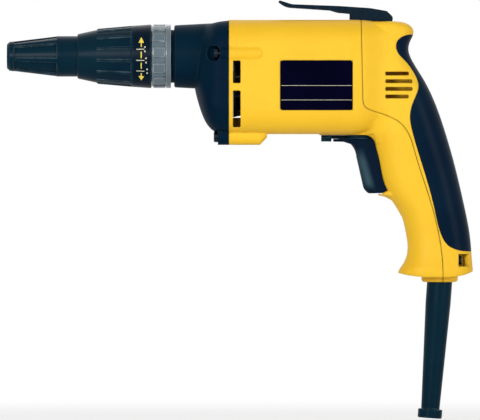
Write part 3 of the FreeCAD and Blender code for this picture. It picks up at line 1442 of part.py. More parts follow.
def make_shells():
    """Motor housing, handle cover and the rubber pad, split out of one hollow form."""
    outer = outer_body()
    room = barrel(value("barrel_wall"), value("overrun")).fuse(column(value("column_wall")))
    hollow = room.cut(inner_webs())
    shell = outer.cut([hollow] + shell_cuts())
    gap = value("seam_gap")
    pad_room = grip_region().cut(column(value("grip_thickness")))
    shaped("motor_housing", largest(shell.cut(rear_region(0))))
    shaped("handle_cover", largest(shell.common(rear_region(gap)).cut(pad_room)))
    shaped("grip_pad", largest(outer.common(rear_region(gap)).common(pad_room)))


def largest(shape):
    """The biggest solid of a shape, without loose slivers."""
    return max(shape.Solids, key=lambda solid: solid.Volume)


def shoulder_loop(step):
    """The gear case's section at a share of its shoulder: round at its foot, the barrel's at the joint."""
    joint, length = value("joint_plane"), value("case_shoulder_length")
    place = joint - length * (1 - step)
    swell = 1 - (1 - step) ** CASE_SWELL_power
    setback = value("case_setback")
    radius = value("case_mouth_radius")
    drop = value("motor_drop")

    def grown(final, share):
        return radius + (final - radius) * share

    half = grown(value("barrel_half_width") - setback, swell)
    high = grown(value("barrel_half_height") - setback - drop, step)
    low = grown(value("barrel_half_height") - setback + drop, swell)
    corner = grown(value("barrel_corner"), swell) - value("case_bevel") * (1 - swell)
    centre = Vector(place, 0, (high - low) / 2)
    loop = rounded_loop(centre, ASIDE, ABOVE, half, (high + low) / 2, corner)
    loop.rotate(Vector(place, 0, -low), ASIDE, value("case_shoulder_lean") * (1 - step) ** 2)
    return loop


def case_pocket(side):
    """Round-ended pocket that lets the driver reach an upper screw."""
    radius, length = value("side_boss_radius"), value("pocket_length")
    seat, reach = value("screw_seat"), value("overrun * 3")
    start = Vector(seat - length + radius, side * value("side_screw_spread"), value("side_screw_rise"))
    across = abs(start.y)
    out = span((start.x, seat), (across, across + reach), (start.z - radius, start.z + radius), side)
    return [Part.makeSphere(radius, start), rod(start, BEHIND, radius, seat - start.x),
            rod(start, ASIDE * side, radius, reach), out]


def edge_broken(shape, front):
    """A turned piece with its front edge bevelled."""
    bevel = value("case_bevel")
    return shape.makeChamfer(bevel, [edge for edge in shape.Edges if edge.BoundBox.XMax < front + bevel])


def make_gear_case():
    """Gear case: round nose and spigot that widen over a leaning shoulder into the barrel's section."""
    front, joint = value("case_front"), value("joint_plane")
    lead = joint - value("case_shoulder_length")
    case = Part.makeLoft([shoulder_loop(step) for step in CASE_step_shares], True)
    slim, wide = value("case_radius"), value("2 * case_mouth_radius - case_radius")
    nose = edge_broken(Part.makeCone(slim, wide, 2 * (lead - front), Vector(front, 0, 0), BEHIND), front)
    spigot_start = Vector(value("spigot_front"), 0, 0)
    spigot = rod(spigot_start, BEHIND, value("spigot_radius"), joint - spigot_start.x)
    solids = [nose, edge_broken(spigot, spigot_start.x)]
    seat = value("screw_seat")
    cavity = Vector(value("cavity_front"), 0, 0)
    plate = Vector(value("plate_front"), 0, -value("motor_drop"))
    cuts = [rod(cavity, BEHIND, value("case_cavity_radius"), joint - cavity.x),
            rod(spigot_start, BEHIND, value("bush_radius"), joint - spigot_start.x),
            rod(plate, BEHIND, value("plate_radius + bearing_fit"), joint - plate.x)]
    for spread, up in screw_places():
        cuts.append(rod(Vector(seat, spread, up), BEHIND, value("screw_radius + slip_fit"), joint - seat))
    for side in (-1, 1):
        foot = Vector(seat, side * value("foot_half_spread"), value("foot_height"))
        boss = Vector(seat, side * value("side_screw_spread"), value("side_screw_rise"))
        solids += [rod(foot, BEHIND, value("foot_radius"), joint - seat), foot_root(seat, joint, side),
                   rod(boss, BEHIND, value("side_boss_radius"), joint - seat)]
        cuts.append(rod(foot, -BEHIND, value("screw_head_radius + running_gap"), value("pocket_length")))
        cuts += case_pocket(side)
    shaped("gear_case", largest(case.fuse(solids).cut(cuts)))


def cross_screw(head_radius, head_height, radius, length):
    """A pan-head screw along -X from under its head, with a cross recess."""
    head = rod(Vector(), -BEHIND, head_radius, head_height)
    crown = head_height / 3
    head = head.makeFillet(crown, [edge for edge in head.Edges if edge.BoundBox.XMax < -crown])
    screw = head.fuse(rod(Vector(), BEHIND, radius, length))
    width, depth = value("screw_slot_width") / 2, value("screw_slot_depth")
    reach = head_radius * 2 / 3
    slots = [block(Vector(-head_height, -a, -b), Vector(-head_height + depth, a, b))
             for a, b in ((width, reach), (reach, width))]
    return screw.cut(slots)


def small_screw(length):
    """The screw that holds the cover, the clamp and the hook."""
    return cross_screw(value("small_head_radius"), value("small_head_height"),
                       value("small_screw_radius"), value(length))


def placed(shape, turn_axis, angle, place):
    """A copy of a shape, turned about the origin and moved to its place."""
    copy = shape.copy()
    copy.rotate(Vector(), turn_axis, angle)
    copy.translate(place)
    return copy


def make_screws():
    """Screws of the case, the cover and the cord clamp."""
    case = cross_screw(value("screw_head_radius"), value("screw_head_height"),
                       value("screw_radius"), value("screw_length"))
    seat = value("screw_seat")
    shaped("gear_case_screws", Part.makeCompound(
        [placed(case, ABOVE, 0, Vector(seat, across, up)) for across, up in screw_places()]))
    small = small_screw("small_screw_length")
    long = small_screw("heel_screw_length")
    half_turn = 2 * QUARTER
    shaped("handle_cover_screws", both_sides(lambda side: placed(long, ABOVE, half_turn, heel_screw(side))))
    clamp = [Vector(clamp_face() + value("clamp_thickness"), side * value("clamp_screw_spread"),
                    value("clamp_height_place")) for side in (-1, 1)]
    shaped("cord_clamp_screws", Part.makeCompound([placed(small, ABOVE, half_turn, spot) for spot in clamp]))
    sunk = value("hook_seat + hook_screw_sink")
    hooks = [Vector(value(place), 0, sunk) for place in ("hook_front + hook_screw_front", "hook_screw_rear")]
    shaped("belt_hook_screws", Part.makeCompound([placed(small, ASIDE, QUARTER, spot) for spot in hooks]))


def make_cord_clamp():
    """Bar that presses the cord against the housing's bosses, hollowed for the cord."""
    face, half = clamp_face(), value("clamp_half_width")
    middle, rise = value("clamp_height_place"), value("clamp_height") / 2
    rear = face + value("clamp_thickness")
    bar = block(Vector(face, -half, middle - rise), Vector(rear, half, middle + rise))
    cuts = [rod(Vector(face, 0, middle - rise), ABOVE, value("cord_bore_radius"), 2 * rise)]
    for side in (-1, 1):
        start = Vector(face, side * value("clamp_screw_spread"), middle)
        cuts.append(rod(start, BEHIND, value("small_screw_radius + slip_fit"), value("clamp_thickness")))
    shaped("cord_clamp", bar.cut(cuts))


def make_cord_protector():
    """Flexible sleeve that keeps the cord from kinking, with a flange inside the heel."""
    body = new_body("cord_protector")
    neck = "protector_neck_length"
    flange = "protector_neck_length + protector_flange_length"
    lip = "-(protector_length - protector_lip_length)"
    sketch = outline(body, "protector_profile", "XZ_Plane", [
        ("cord_bore_radius", "-protector_length"),
        ("protector_lip_radius - collar_bevel", "-protector_length"),
        ("protector_lip_radius", "-(protector_length - collar_bevel)"),
        ("protector_lip_radius", lip),
        ("protector_tip_radius", lip + " + collar_bevel"),
        ("protector_radius", "-protector_straight"),
        ("protector_radius", neck),
        ("protector_flange_radius", neck),
        ("protector_flange_radius", flange),
        ("cord_bore_radius", flange),
    ])
    feature = body.newObject("PartDesign::Revolution", "protector_turning")
    feature.Profile = sketch
    feature.ReferenceAxis = (sketch, ["V_Axis"])
    feature.Angle = 360
    body.Placement = protector_placement()
    body.setExpression("Placement.Base.x", formula("heel_collar_place"))
    body.setExpression("Placement.Base.z", formula("heel_collar_bottom"))


def make_name_plate():
    """Bare plate on the left flank, with rounded corners."""
    body = new_body("name_plate")
    left, right = "joint_plane + plate_offset", "joint_plane + plate_offset + plate_length"
    low = "plate_top - plate_height"
    sketch = outline(body, "plate_outline", "XZ_Plane", [
        (left, low),
        (right, low),
        (right, "plate_top"),
        (left, "plate_top"),
    ], "barrel_half_width - plate_sink")
    pad = extrude(body, "plate_body", "Pad", sketch, "plate_thickness", False)
    soften(body, "plate_corners", pad, "plate_corner", lambda edge: along_edge(edge, ASIDE))


def make_belt_hook():
    """Belt hook: a block on the housing with a long springy arm turned up at its tip."""
    body = new_body("belt_hook")
    corners = [(f"hook_tip + hook_length * {back}", f"hook_seat + hook_height * {up}")
               for back, up, kind in HOOK_shares]
    sketch = outline(body, "hook_outline", "XZ_Plane", corners)
    form = extrude(body, "hook_body", "Pad", sketch, "hook_half_width * 2")
    near = value("slip_fit")
    for kind, radius in (("bend", "hook_bend"), ("back", "hook_back_round"), ("tip", "hook_tip_round")):
        spots = [Vector(value(corner[0]), 0, value(corner[1]))
                 for corner, share in zip(corners, HOOK_shares) if share[2] == kind]
        form = soften(body, f"hook_{kind}s", form, radius, lambda edge: (
            along_edge(edge, ASIDE) and any((edge.CenterOfMass - spot).Length < near for spot in spots)))
    edge_place = value("hook_half_width - slip_fit")
    seat = value("hook_seat + slip_fit")
    soften(body, "hook_edges", form, "hook_round",
           lambda edge: abs(edge.CenterOfMass.y) > edge_place and edge.CenterOfMass.z > seat)
    for index, place in enumerate(("hook_front + hook_screw_front", "hook_screw_rear")):
        hole_bore(body, f"hook_hole_{index}", place)


def hole_bore(body, name, place):
    """Screw hole and head recess through the hook's block."""
    sunk = "hook_seat + hook_screw_sink"
    for kind, radius, low, high in (
        ("shank", "small_screw_radius + slip_fit", "hook_seat - overrun", sunk),
        ("head", "small_head_radius + slip_fit * 2", sunk, "hook_seat + hook_height"),
    ):
        sketch = body.newObject("Sketcher::SketchObject", f"{name}_{kind}_outline")
        sketch.AttachmentSupport = [(origin_feature(body, "XY_Plane"), "")]
        sketch.MapMode = "FlatFace"
        sketch.setExpression("AttachmentOffset.Base.z", formula(low))
        sketch.addGeometry(Part.Circle(Vector(value(place), 0, 0), ABOVE, value(radius)), False)
        sketch.addConstraint(Sketcher.Constraint("PointOnObject", 0, 3, -1))
        sketch.addConstraint(Sketcher.Constraint("DistanceX", -1, 1, 0, 3, value(place)))
        sketch.addConstraint(Sketcher.Constraint("Radius", 0, value(radius)))
        sketch.setExpression("Constraints[1]", formula(place))
        sketch.setExpression("Constraints[2]", formula(radius))
        extrude(body, f"{name}_{kind}", "Pocket", sketch, f"({high}) - ({low})", False, True)


def make_trigger():
    """Trigger: finger lever with a lip over the finger and a plunger into the switch."""
    body = new_body("trigger")
    front = [(f"trigger_front + trigger_depth * {back}", f"trigger_top - trigger_height * {down}", *arc)
             for back, down, *arc in TRIGGER_shares]
    corners = [
        ("trigger_rear - trigger_tail", "trigger_top"),
        ("trigger_front", "trigger_top"),
        ("trigger_front", "trigger_top - trigger_lip_thickness"),
    ]
    sketch = outline(body, "trigger_outline", "XZ_Plane", corners + front)
    pad = extrude(body, "trigger_body", "Pad", sketch, "trigger_half_width * 2")
    pad = soften(body, "lip_corners", pad, "trigger_lip_round", lambda edge: (
        along_edge(edge, ABOVE) and edge.CenterOfMass.x < value("trigger_front + slip_fit")))
    flank = value("trigger_half_width - slip_fit")
    high, low = value(front[1][1]), value("trigger_bottom + slip_fit")
    last = value(front[4][0])
    soften(body, "finger_side", pad, "trigger_round", lambda edge: (
        abs(edge.CenterOfMass.y) > flank and edge.CenterOfMass.x < last
        and low < edge.CenterOfMass.z < high))
    sketch = body.newObject("Sketcher::SketchObject", "plunger_outline")
    sketch.AttachmentSupport = [(origin_feature(body, "YZ_Plane"), "")]
    sketch.MapMode = "FlatFace"
    start = "trigger_rear - trigger_tail * 2"
    place = "trigger_top - plunger_drop"
    sketch.setExpression("AttachmentOffset.Base.z", formula(start))
    sketch.addGeometry(Part.Circle(Vector(0, value(place), 0), ABOVE, value("plunger_radius")), False)
    sketch.addConstraint(Sketcher.Constraint("PointOnObject", 0, 3, -2))
    sketch.addConstraint(Sketcher.Constraint("DistanceY", -1, 1, 0, 3, value(place)))
    sketch.addConstraint(Sketcher.Constraint("Radius", 0, value("plunger_radius")))
    sketch.setExpression("Constraints[1]", formula(place))
    sketch.setExpression("Constraints[2]", formula("plunger_radius"))
    extrude(body, "plunger", "Pad", sketch, f"switch_front + plunger_engagement - ({start})", False)


def make_switch():
    """Switch block in the handle, bored for the trigger's plunger."""
    low = "switch_top - switch_height"
    body = new_body("switch_body")
    rear = "switch_front + switch_length"
    sketch = outline(body, "switch_outline", "XZ_Plane", [
        ("switch_front", low),
        (rear, low),
        (rear, "switch_top"),
        ("switch_front", "switch_top"),
    ])
    extrude(body, "switch_block", "Pad", sketch, "switch_half_width * 2")
    sketch = body.newObject("Sketcher::SketchObject", "plunger_bore_outline")
    sketch.AttachmentSupport = [(origin_feature(body, "YZ_Plane"), "")]
    sketch.MapMode = "FlatFace"
    place = "trigger_top - plunger_drop"
    radius = "plunger_radius + running_gap"
    sketch.setExpression("AttachmentOffset.Base.z", formula("switch_front"))
    sketch.addGeometry(Part.Circle(Vector(0, value(place), 0), ABOVE, value(radius)), False)
    sketch.addConstraint(Sketcher.Constraint("PointOnObject", 0, 3, -2))
    sketch.addConstraint(Sketcher.Constraint("DistanceY", -1, 1, 0, 3, value(place)))
    sketch.addConstraint(Sketcher.Constraint("Radius", 0, value(radius)))
    sketch.setExpression("Constraints[1]", formula(place))
    sketch.setExpression("Constraints[2]", formula(radius))
    extrude(body, "plunger_bore", "Pocket", sketch,
            "plunger_engagement + trigger_travel + switch_gap", False, True)


def make_reverse_lever():
    """Reverse lever: a round hub on a pin, an arm and a paddle that both thumbs reach."""
    top, thick = value("lever_top"), value("lever_thickness")
    pivot = Vector(value("lever_pivot"), 0, top - thick)
    hub = rod(pivot, ABOVE, value("lever_hub_radius"), thick)
    tip = value("lever_pivot - lever_reach")
    half = value("lever_arm_half_width")
    arm = block(Vector(tip, -half, top - thick), Vector(pivot.x, half, top))
    wide = value("lever_paddle_half_width")
    upper = top - value("lever_paddle_drop")
    end = tip + value("lever_paddle_length")
    paddle = block(Vector(tip, -wide, upper - value("lever_paddle_thickness")), Vector(end, wide, upper))
    corners = [edge for edge in paddle.Edges if along_edge(edge, ABOVE)]
    paddle = paddle.makeFillet(value("lever_paddle_length / 3"), corners)
    pin = rod(pivot, ABOVE, value("lever_pin_radius"), value("lever_thickness + lever_pin_length"))
    shaped("reverse_lever", hub.fuse([arm, paddle, pin]).removeSplitter())


def check_and_write():
    """Stop on any failed object or bad shape, then write one file per piece."""
    doc.recompute()
    for item in doc.Objects:
        if {"Invalid", "Error"} & set(item.State):
            raise RuntimeError(f"{item.Label} failed: {item.State}")
    for piece in pieces:
        shape = piece.Shape
        if shape.isNull() or not shape.isValid() or not shape.Solids:
            raise RuntimeError(f"{piece.Label} has no valid solid")
        print(f"{piece.Label}: {len(shape.Solids)} solid(s), {shape.Volume:.1f} mm3")
    os.makedirs("parts", exist_ok=True)
    for piece in pieces:
        piece.Shape.exportStep(os.path.join("parts", piece.Label + ".step"))


def build():
    """Make every piece, from the nose to the heel."""
    make_locator()
    make_depth_collar()
    make_nose_sleeve()
    make_spindle()
    make_bushes()
    make_clutch_spring()
    shaped("drive_gear", drive_gear_shape())
    make_bearing_plate()
    make_bearings()
    shaped("motor_shaft", motor_shaft_shape())
    make_cooling_fan()
    make_fan_baffle()
    make_armature()
    make_field()
    make_brushes()
    make_gear_case()
    make_shells()
    make_screws()
    make_cord_clamp()
    make_cord_protector()
    make_name_plate()
    make_belt_hook()
    make_trigger()
    make_switch()
    make_reverse_lever()
    check_and_write()


build()
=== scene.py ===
# %% [markdown]
# # A drywall screwdriver, dressed for its picture
# The solids of the tool come from the imported model, so this lesson only adds what a moulder, a printer and a
# photographer would: the finishes of the plastics and metals, the prints on the collar and the plate, the soft
# transitions of the shell round the trigger, a coil spring, the light and the camera. The first step loads the
# model as a fixed frame and keeps its box.

# %% Load the frame
import math
import bpy
import numpy as np
from mathutils.bvhtree import BVHTree
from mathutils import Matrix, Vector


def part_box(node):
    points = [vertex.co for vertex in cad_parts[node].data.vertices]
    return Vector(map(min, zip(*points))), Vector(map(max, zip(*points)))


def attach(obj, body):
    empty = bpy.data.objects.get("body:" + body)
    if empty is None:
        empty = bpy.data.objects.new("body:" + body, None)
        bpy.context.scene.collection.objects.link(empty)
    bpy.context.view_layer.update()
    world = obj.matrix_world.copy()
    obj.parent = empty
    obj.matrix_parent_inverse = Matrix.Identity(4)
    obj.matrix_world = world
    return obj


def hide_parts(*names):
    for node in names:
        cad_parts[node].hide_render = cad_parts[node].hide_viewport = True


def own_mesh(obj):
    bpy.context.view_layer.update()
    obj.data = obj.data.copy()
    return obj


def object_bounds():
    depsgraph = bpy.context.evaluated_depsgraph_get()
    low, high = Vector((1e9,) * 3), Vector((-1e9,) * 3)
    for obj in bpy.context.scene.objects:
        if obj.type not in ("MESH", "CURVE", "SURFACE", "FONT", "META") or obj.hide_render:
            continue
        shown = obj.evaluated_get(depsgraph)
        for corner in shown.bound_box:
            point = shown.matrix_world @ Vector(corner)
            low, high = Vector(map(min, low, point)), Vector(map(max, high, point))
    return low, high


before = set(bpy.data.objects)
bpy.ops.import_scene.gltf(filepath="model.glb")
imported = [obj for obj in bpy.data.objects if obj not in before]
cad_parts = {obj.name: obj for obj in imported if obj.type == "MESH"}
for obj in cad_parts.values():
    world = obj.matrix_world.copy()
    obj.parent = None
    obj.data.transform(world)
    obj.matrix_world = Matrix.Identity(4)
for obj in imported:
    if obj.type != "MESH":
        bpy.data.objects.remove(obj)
cad_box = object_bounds()
millimetre = 0.001
print("nodes:", len(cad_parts), "box:", [tuple(round(x, 4) for x in corner) for corner in cad_box])

# %% [markdown]
# ## Tools for the finishes
# Every finish below is a small tree of shader nodes on the Principled shader. One could click each tree
# together in the Shader Editor, but many of them share the same steps: a noise on object coordinates, a
# soft step that turns it into a mask, a blend of two colours, a rounded edge. So these steps are the methods
# of one class. Colours are written as they look on the screen, in eight bits, and turned into linear light.

# %% Colours as they look
def linear(red, green, blue):
    """Screen colour in eight bits to linear light: the sRGB curve, a power of 2.4 above a short straight toe."""
    screen = np.array((red, green, blue)) / 255
    light = np.where(screen <= 0.04045, screen / 12.92, ((screen + 0.055) / 1.055) ** 2.4)
    return (*(float(part) for part in light), 1.0)


print("mid grey of the screen in linear light:", round(linear(128, 128, 128)[0], 3))


# %% A finish in the making
class Finish:
    """A procedural material in the making: its tree, its shader and the steps that add to it."""

    def __init__(self, name, shine=0.5, metal=0.0):
        self.material = bpy.data.materials.new(name)
        self.material.use_nodes = True
        self.tree = self.material.node_tree
        self.shader = self.tree.nodes["Principled BSDF"]
        self.shader.inputs["Specular IOR Level"].default_value = shine
        self.shader.inputs["Metallic"].default_value = metal
        self.place = self.add("TexCoord").outputs["Object"]

    def put(self, socket, value):
        """Links an output to a socket, or sets a plain value on it."""
        if isinstance(value, bpy.types.NodeSocket):
            self.tree.links.new(value, socket)
        else:
            socket.default_value = value

    def add(self, kind, inputs=None, **settings):
        """Adds one node, sets its own settings, then fills the named inputs."""
        node = self.tree.nodes.new("ShaderNode" + kind)
        for name, value in settings.items():
            setattr(node, name, value)
        for name, value in (inputs or {}).items():
            self.put(node.inputs[name], value)
        return node

    def spots(self, size, stretch=(1, 1, 1), detail=3.0):
        """Noise whose spots are about this many millimetres wide, drawn out along an axis by stretch."""
        scale = [1 / (size * millimetre * s) for s in stretch]
        place = self.add("Mapping", {"Vector": self.place, "Scale": scale}).outputs["Vector"]
        return self.add("TexNoise", {"Vector": place, "Scale": 1.0, "Detail": detail}).outputs["Fac"]

    def bands(self, pitch, axis):
        """Sine bands of this pitch in millimetres along X, Y or Z. The wave texture turns by 20 radians for each unit
        of its scaled place, so one wave is a full turn over 20."""
        scale = 2 * math.pi / (20 * pitch * millimetre)
        return self.add("TexWave", {"Vector": self.place, "Scale": scale}, bands_direction=axis).outputs["Fac"]

    def step(self, value, low, high, start=0.0, end=1.0):
        """Smooth step: start below low, end above high, an S curve between them."""
        inputs = {"Value": value, "From Min": low, "From Max": high, "To Min": start, "To Max": end}
        return self.add("MapRange", inputs, interpolation_type="SMOOTHSTEP").outputs["Result"]

    def sum(self, operation, first, second):
        """One sum of two values: ADD, SUBTRACT, MULTIPLY, MAXIMUM and so on."""
        node = self.add("Math", operation=operation)
        self.put(node.inputs[0], first)
        self.put(node.inputs[1], second)
        return node.outputs["Value"]

    def blend(self, share, first, second):
        """First colour where share is 0, second where it is 1. The node has one set of sockets for each type of data,
        and those for colours are the factor, 0, the inputs 6 and 7, and the output 2."""
        node = self.add("Mix", data_type="RGBA")
        for index, value in zip((0, 6, 7), (share, first, second)):
            self.put(node.inputs[index], value)
        return node.outputs[2]

    def rounded(self, radius):
        """Surface normal with edges rounded over this many millimetres."""
        return self.add("Bevel", {"Radius": radius * millimetre}, samples=6).outputs["Normal"]

    def edge(self, rounding, low=0.01, high=0.12):
        """Mask of the edges: how far the rounded normal leans away from the flat one, one less their dot product."""
        flat = self.add("NewGeometry").outputs["Normal"]
        lean = self.add("VectorMath", {0: rounding, 1: flat}, operation="DOT_PRODUCT").outputs["Value"]
        return self.step(self.sum("SUBTRACT", 1.0, lean), low, high)

    def hollow(self, reach, low, high):
        """Mask of hollows and slots: 1 where most of what lies within this many millimetres is the piece itself."""
        node = self.add("AmbientOcclusion", {"Distance": reach * millimetre}, samples=8, only_local=True)
        return self.step(node.outputs["AO"], low, high, 1.0, 0.0)

    def relief(self, height, depth, normal):
        """Bump from a height field, this many millimetres deep, on top of a normal."""
        inputs = {"Height": height, "Distance": depth * millimetre, "Strength": 1.0, "Normal": normal}
        return self.add("Bump", inputs).outputs["Normal"]

    def done(self, colour, roughness, normal):
        """Joins the three results to the shader and hands back the material."""
        self.put(self.shader.inputs["Base Color"], colour)
        self.put(self.shader.inputs["Roughness"], roughness)
        self.put(self.shader.inputs["Normal"], normal)
        return self.material


# %% A finish on its nodes
def dress(material, *nodes):
    """Gives nodes of the frame a finish, in the slot that their mesh already has."""
    for node in nodes:
        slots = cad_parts[node].data.materials
        slots.clear()
        slots.append(material)
    print(material.name, "on", ", ".join(nodes))


# %% [markdown]
# ## Yellow shell
# The housing and the rear cover are glass filled nylon, moulded in a spark eroded tool: the colour goes right
# through, the surface has a fine even pebble that scatters the light, and edges that hands rub turn a little
# paler and smoother. A single colour would look like paint on a toy, so three noises work together: a wide one
# for the slow drift in colour of a moulding, a fine one for the pebble, and one that breaks up the rubbed edge.
# Hollows, vents and creases get a near-black painted shade from an occlusion mask.

# %% Moulded plastics
paint_edge = 0.2 * millimetre


def moulded(name, colour, deep, wear_and_highlight_colour, roughness, shine, pebble=0.45, depth=0.012, rounding=0.6, wear_and_highlight_share=0.5,
            dust_and_shade=(2, 12, 22), groove_shade_share=0.0, band=None, sheen_mask=None):
    """Plastic from a spark eroded tool. Colour drifts from deep to colour over some 40 mm, the pebble gives roughness
    and bump, and a given share of the sharp edges turns to the pale edge colour: partly wear, partly a painted
    highlight.
    An occlusion mask paints shade of the shade colour into hollows, and a given share of it into grooves. A band is a
    painted strip: its front along X in metres, and its colour. The last argument gives a mask of a painted sheen."""
    made = Finish(name, shine)
    soft = made.rounded(rounding)
    sharp = made.edge(made.rounded(min(rounding, 1.0)))
    drift = made.step(made.spots(40), 0.3, 0.7)
    grain = made.spots(pebble, detail=2.0)
    patchy = made.step(made.spots(6), 0.35, 0.75, 0.25, 1.0)
    # Painted highlight and wear: a share of the sharp edges takes the pale edge colour.
    wear_and_highlight_mask = made.sum("MULTIPLY", made.sum("MULTIPLY", sharp, patchy), wear_and_highlight_share)
    # Painted sheen: an optional mask adds a pale strip that stands for a highlight.
    if sheen_mask:
        wear_and_highlight_mask = made.sum("MAXIMUM", wear_and_highlight_mask, sheen_mask(made))
    body = made.blend(drift, linear(*deep), linear(*colour))
    if band:
        front, paint = band
        along = made.add("SeparateXYZ", {0: made.place}).outputs["X"]
        body = made.blend(made.step(along, front - paint_edge, front + paint_edge), body, linear(*paint))
    speckled = made.blend(made.step(grain, 0.25, 0.75, 0.10, 0.0), body, linear(*deep))
    # Painted shade: occlusion darkens hollows, vents and creases, and grooves by a further share.
    shade_in_hollows = made.hollow(9, 0.12, 0.45)
    shade_in_grooves = made.sum("MULTIPLY", made.hollow(2.2, 0.45, 0.9), groove_shade_share)
    shade_mask = made.sum("MAXIMUM", shade_in_hollows, shade_in_grooves)
    shaded_colour = made.blend(shade_mask, speckled, linear(*dust_and_shade))
    tone = made.blend(wear_and_highlight_mask, shaded_colour, linear(*wear_and_highlight_colour))
    gloss = made.step(grain, 0.2, 0.8, roughness + 0.05, roughness - 0.05)
    smoother = made.sum("SUBTRACT", gloss, made.sum("MULTIPLY", wear_and_highlight_mask, 0.08))
    return made.done(tone, smoother, made.relief(grain, depth, soft))


# %% Yellow nylon
def yellow_nylon(name, rounding):
    """The yellow of both shells, with edges rounded over this many millimetres."""
    # The last colour is painted shade in hollows, vents and creases; the pale edge colour is wear.
    return moulded(name, (252, 202, 44), (249, 195, 40), (255, 214, 84), 0.52, 0.22, rounding=rounding, wear_and_highlight_share=0.35,
                   dust_and_shade=(20, 19, 18))


yellow_shell = yellow_nylon("yellow_shell", 1.6)
dress(yellow_shell, "motor_housing", "handle_cover")

# %% [markdown]
# ## Black mouldings, rubber and the grey ring
# The nosepiece, collar, trigger, lever and cord protector are black mouldings with a cold blue cast. The gear
# case is the same colour on a harder and duller part, and the grip is soft rubber with a coarser pebble. The ring
# behind the collar is plain grey. They share the recipe of the yellow shell, so only the colours and the dullness
# change. On these parts the pale edges are partly wear and partly a painted highlight, and the darker grooves and
# gaps are painted shade. Two masks are added: a painted band round the collar, and a pale strip on the trigger, a
# painted sheen that stands for the highlight of its rounded flank. Both are masks on object coordinates, so they
# stay with their piece as it moves.

# %% Painted sheen on the trigger
trigger_low, trigger_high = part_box("trigger")
strip_line = trigger_low.x + 14.3 * millimetre
strip_lean = 0.3
strip_core, strip_half = 0.3 * millimetre, 5 * millimetre
strip_share = 0.85
strip_foot = trigger_low.z + 1 * millimetre, trigger_low.z + 8 * millimetre
strip_head = trigger_high.z - 16 * millimetre, trigger_high.z - 4 * millimetre


def painted_sheen_strip(made):
    """Mask of the painted sheen on the trigger, a pale strip that stands for the highlight of a rounded flank: a line
    that leans back on its way down, fading over some millimetres to both sides and towards its ends."""
    x, _, z = made.add("SeparateXYZ", {0: made.place}).outputs
    lean = made.sum("MULTIPLY", made.sum("SUBTRACT", trigger_high.z, z), strip_lean)
    across = made.sum("SUBTRACT", made.sum("SUBTRACT", x, lean), strip_line)
    strip = made.step(made.sum("ABSOLUTE", across, 0.0), strip_core, strip_half, strip_share, 0.0)
    foot = made.step(z, *strip_foot)
    head = made.step(z, *strip_head, 1.0, 0.0)
    return made.sum("MULTIPLY", strip, made.sum("MULTIPLY", foot, head))


# The width printed is that of the painted sheen strip.
print("polished strip up to", round(2 * strip_half * 1000, 1), "mm wide")

# %% Black, rubber and grey
# Pale edge colours here are partly wear, partly painted highlight; shade colour and groove share paint shade.
black_tones = (5, 39, 53), (2, 31, 48), (84, 112, 124)
collar_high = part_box("depth_collar")[1]
collar_band = collar_high.x - 11.6 * millimetre
black_plastic = moulded("black_plastic", *black_tones, 0.30, 0.045, rounding=1.0, wear_and_highlight_share=0.9, groove_shade_share=0.9)
collar_plastic = moulded("collar_plastic", *black_tones, 0.30, 0.045, rounding=1.0, wear_and_highlight_share=0.9, groove_shade_share=0.9,
                         band=(collar_band, (2, 22, 38)))
# Its pale colour paints the sheen strip, a painted highlight, as well as the edges.
trigger_plastic = moulded("trigger_plastic", (3, 26, 46), (1, 20, 42), (56, 84, 96), 0.36, 0.04,
                          rounding=2.4, wear_and_highlight_share=0.3, groove_shade_share=0.5, sheen_mask=painted_sheen_strip)
black_casting = moulded("black_casting", (4, 34, 51), (1, 26, 46), (72, 96, 108), 0.48, 0.025,
                        rounding=1.2, wear_and_highlight_share=0.4, groove_shade_share=0.7)
grip_rubber = moulded("grip_rubber", (3, 30, 49), (1, 23, 44), (30, 60, 72), 0.36, 0.04, pebble=0.7, depth=0.02)
# The near-white edge colour is a painted highlight on the lugs; the grey-blue shade is painted between them.
grey_plastic = moulded("grey_plastic", (94, 112, 121), (84, 102, 111), (214, 222, 228), 0.20, 0.5,
                       rounding=0.9, wear_and_highlight_share=0.9, dust_and_shade=(22, 32, 40), groove_shade_share=1.0)
dress(black_plastic, "locator", "reverse_lever", "cord_protector")
dress(collar_plastic, "depth_collar")
dress(trigger_plastic, "trigger")
dress(black_casting, "gear_case")
dress(grip_rubber, "grip_pad")
dress(grey_plastic, "nose_sleeve")

# %% [markdown]
# ## Belt hook, screws and the steel inside
# The hook is bent sheet steel with a black oxide coat: dark, cold, a little glossy, bare at the edges where a
# belt rubs it. Shafts and screws are bright steel with fine turning lines, which are noise drawn out along one
# axis. A brushed look made from long thin spots needs no pictures and follows each part from any side.

# %% Steel finishes
def coated_steel(name, colour, bare, roughness):
    """Dark coat on sheet steel: fine spots for the coat, bare metal tone on the rounded edges."""
    made = Finish(name, shine=0.04)
    soft = made.rounded(0.5)
    coat = made.spots(1.2)
    wear_and_highlight_mask = made.sum("MULTIPLY", made.edge(soft), made.step(made.spots(5), 0.4, 0.7, 0.2, 0.9))
    thin_coat = made.blend(made.step(coat, 0.3, 0.7, 0, 0.15), linear(*colour), linear(*bare))
    gloss = made.step(coat, 0.2, 0.8, roughness + 0.08, roughness - 0.05)
    return made.done(made.blend(wear_and_highlight_mask, thin_coat, linear(*bare)), gloss, made.relief(coat, 0.01, soft))


def turned_steel(name, colour, shadow, roughness, stretch):
    """Machined metal: spots drawn out along the tool's path give the lines, in colour, roughness and bump."""
    made = Finish(name, metal=1.0)
    soft = made.rounded(0.25)
    lines = made.spots(0.25, stretch)
    stain = made.step(made.spots(9), 0.35, 0.7, 0.0, 0.5)
    clean = made.blend(lines, linear(*shadow), linear(*colour))
    gloss = made.step(lines, 0.2, 0.8, roughness + 0.1, roughness - 0.06)
    return made.done(made.blend(stain, clean, linear(*shadow)), gloss, made.relief(lines, 0.006, soft))


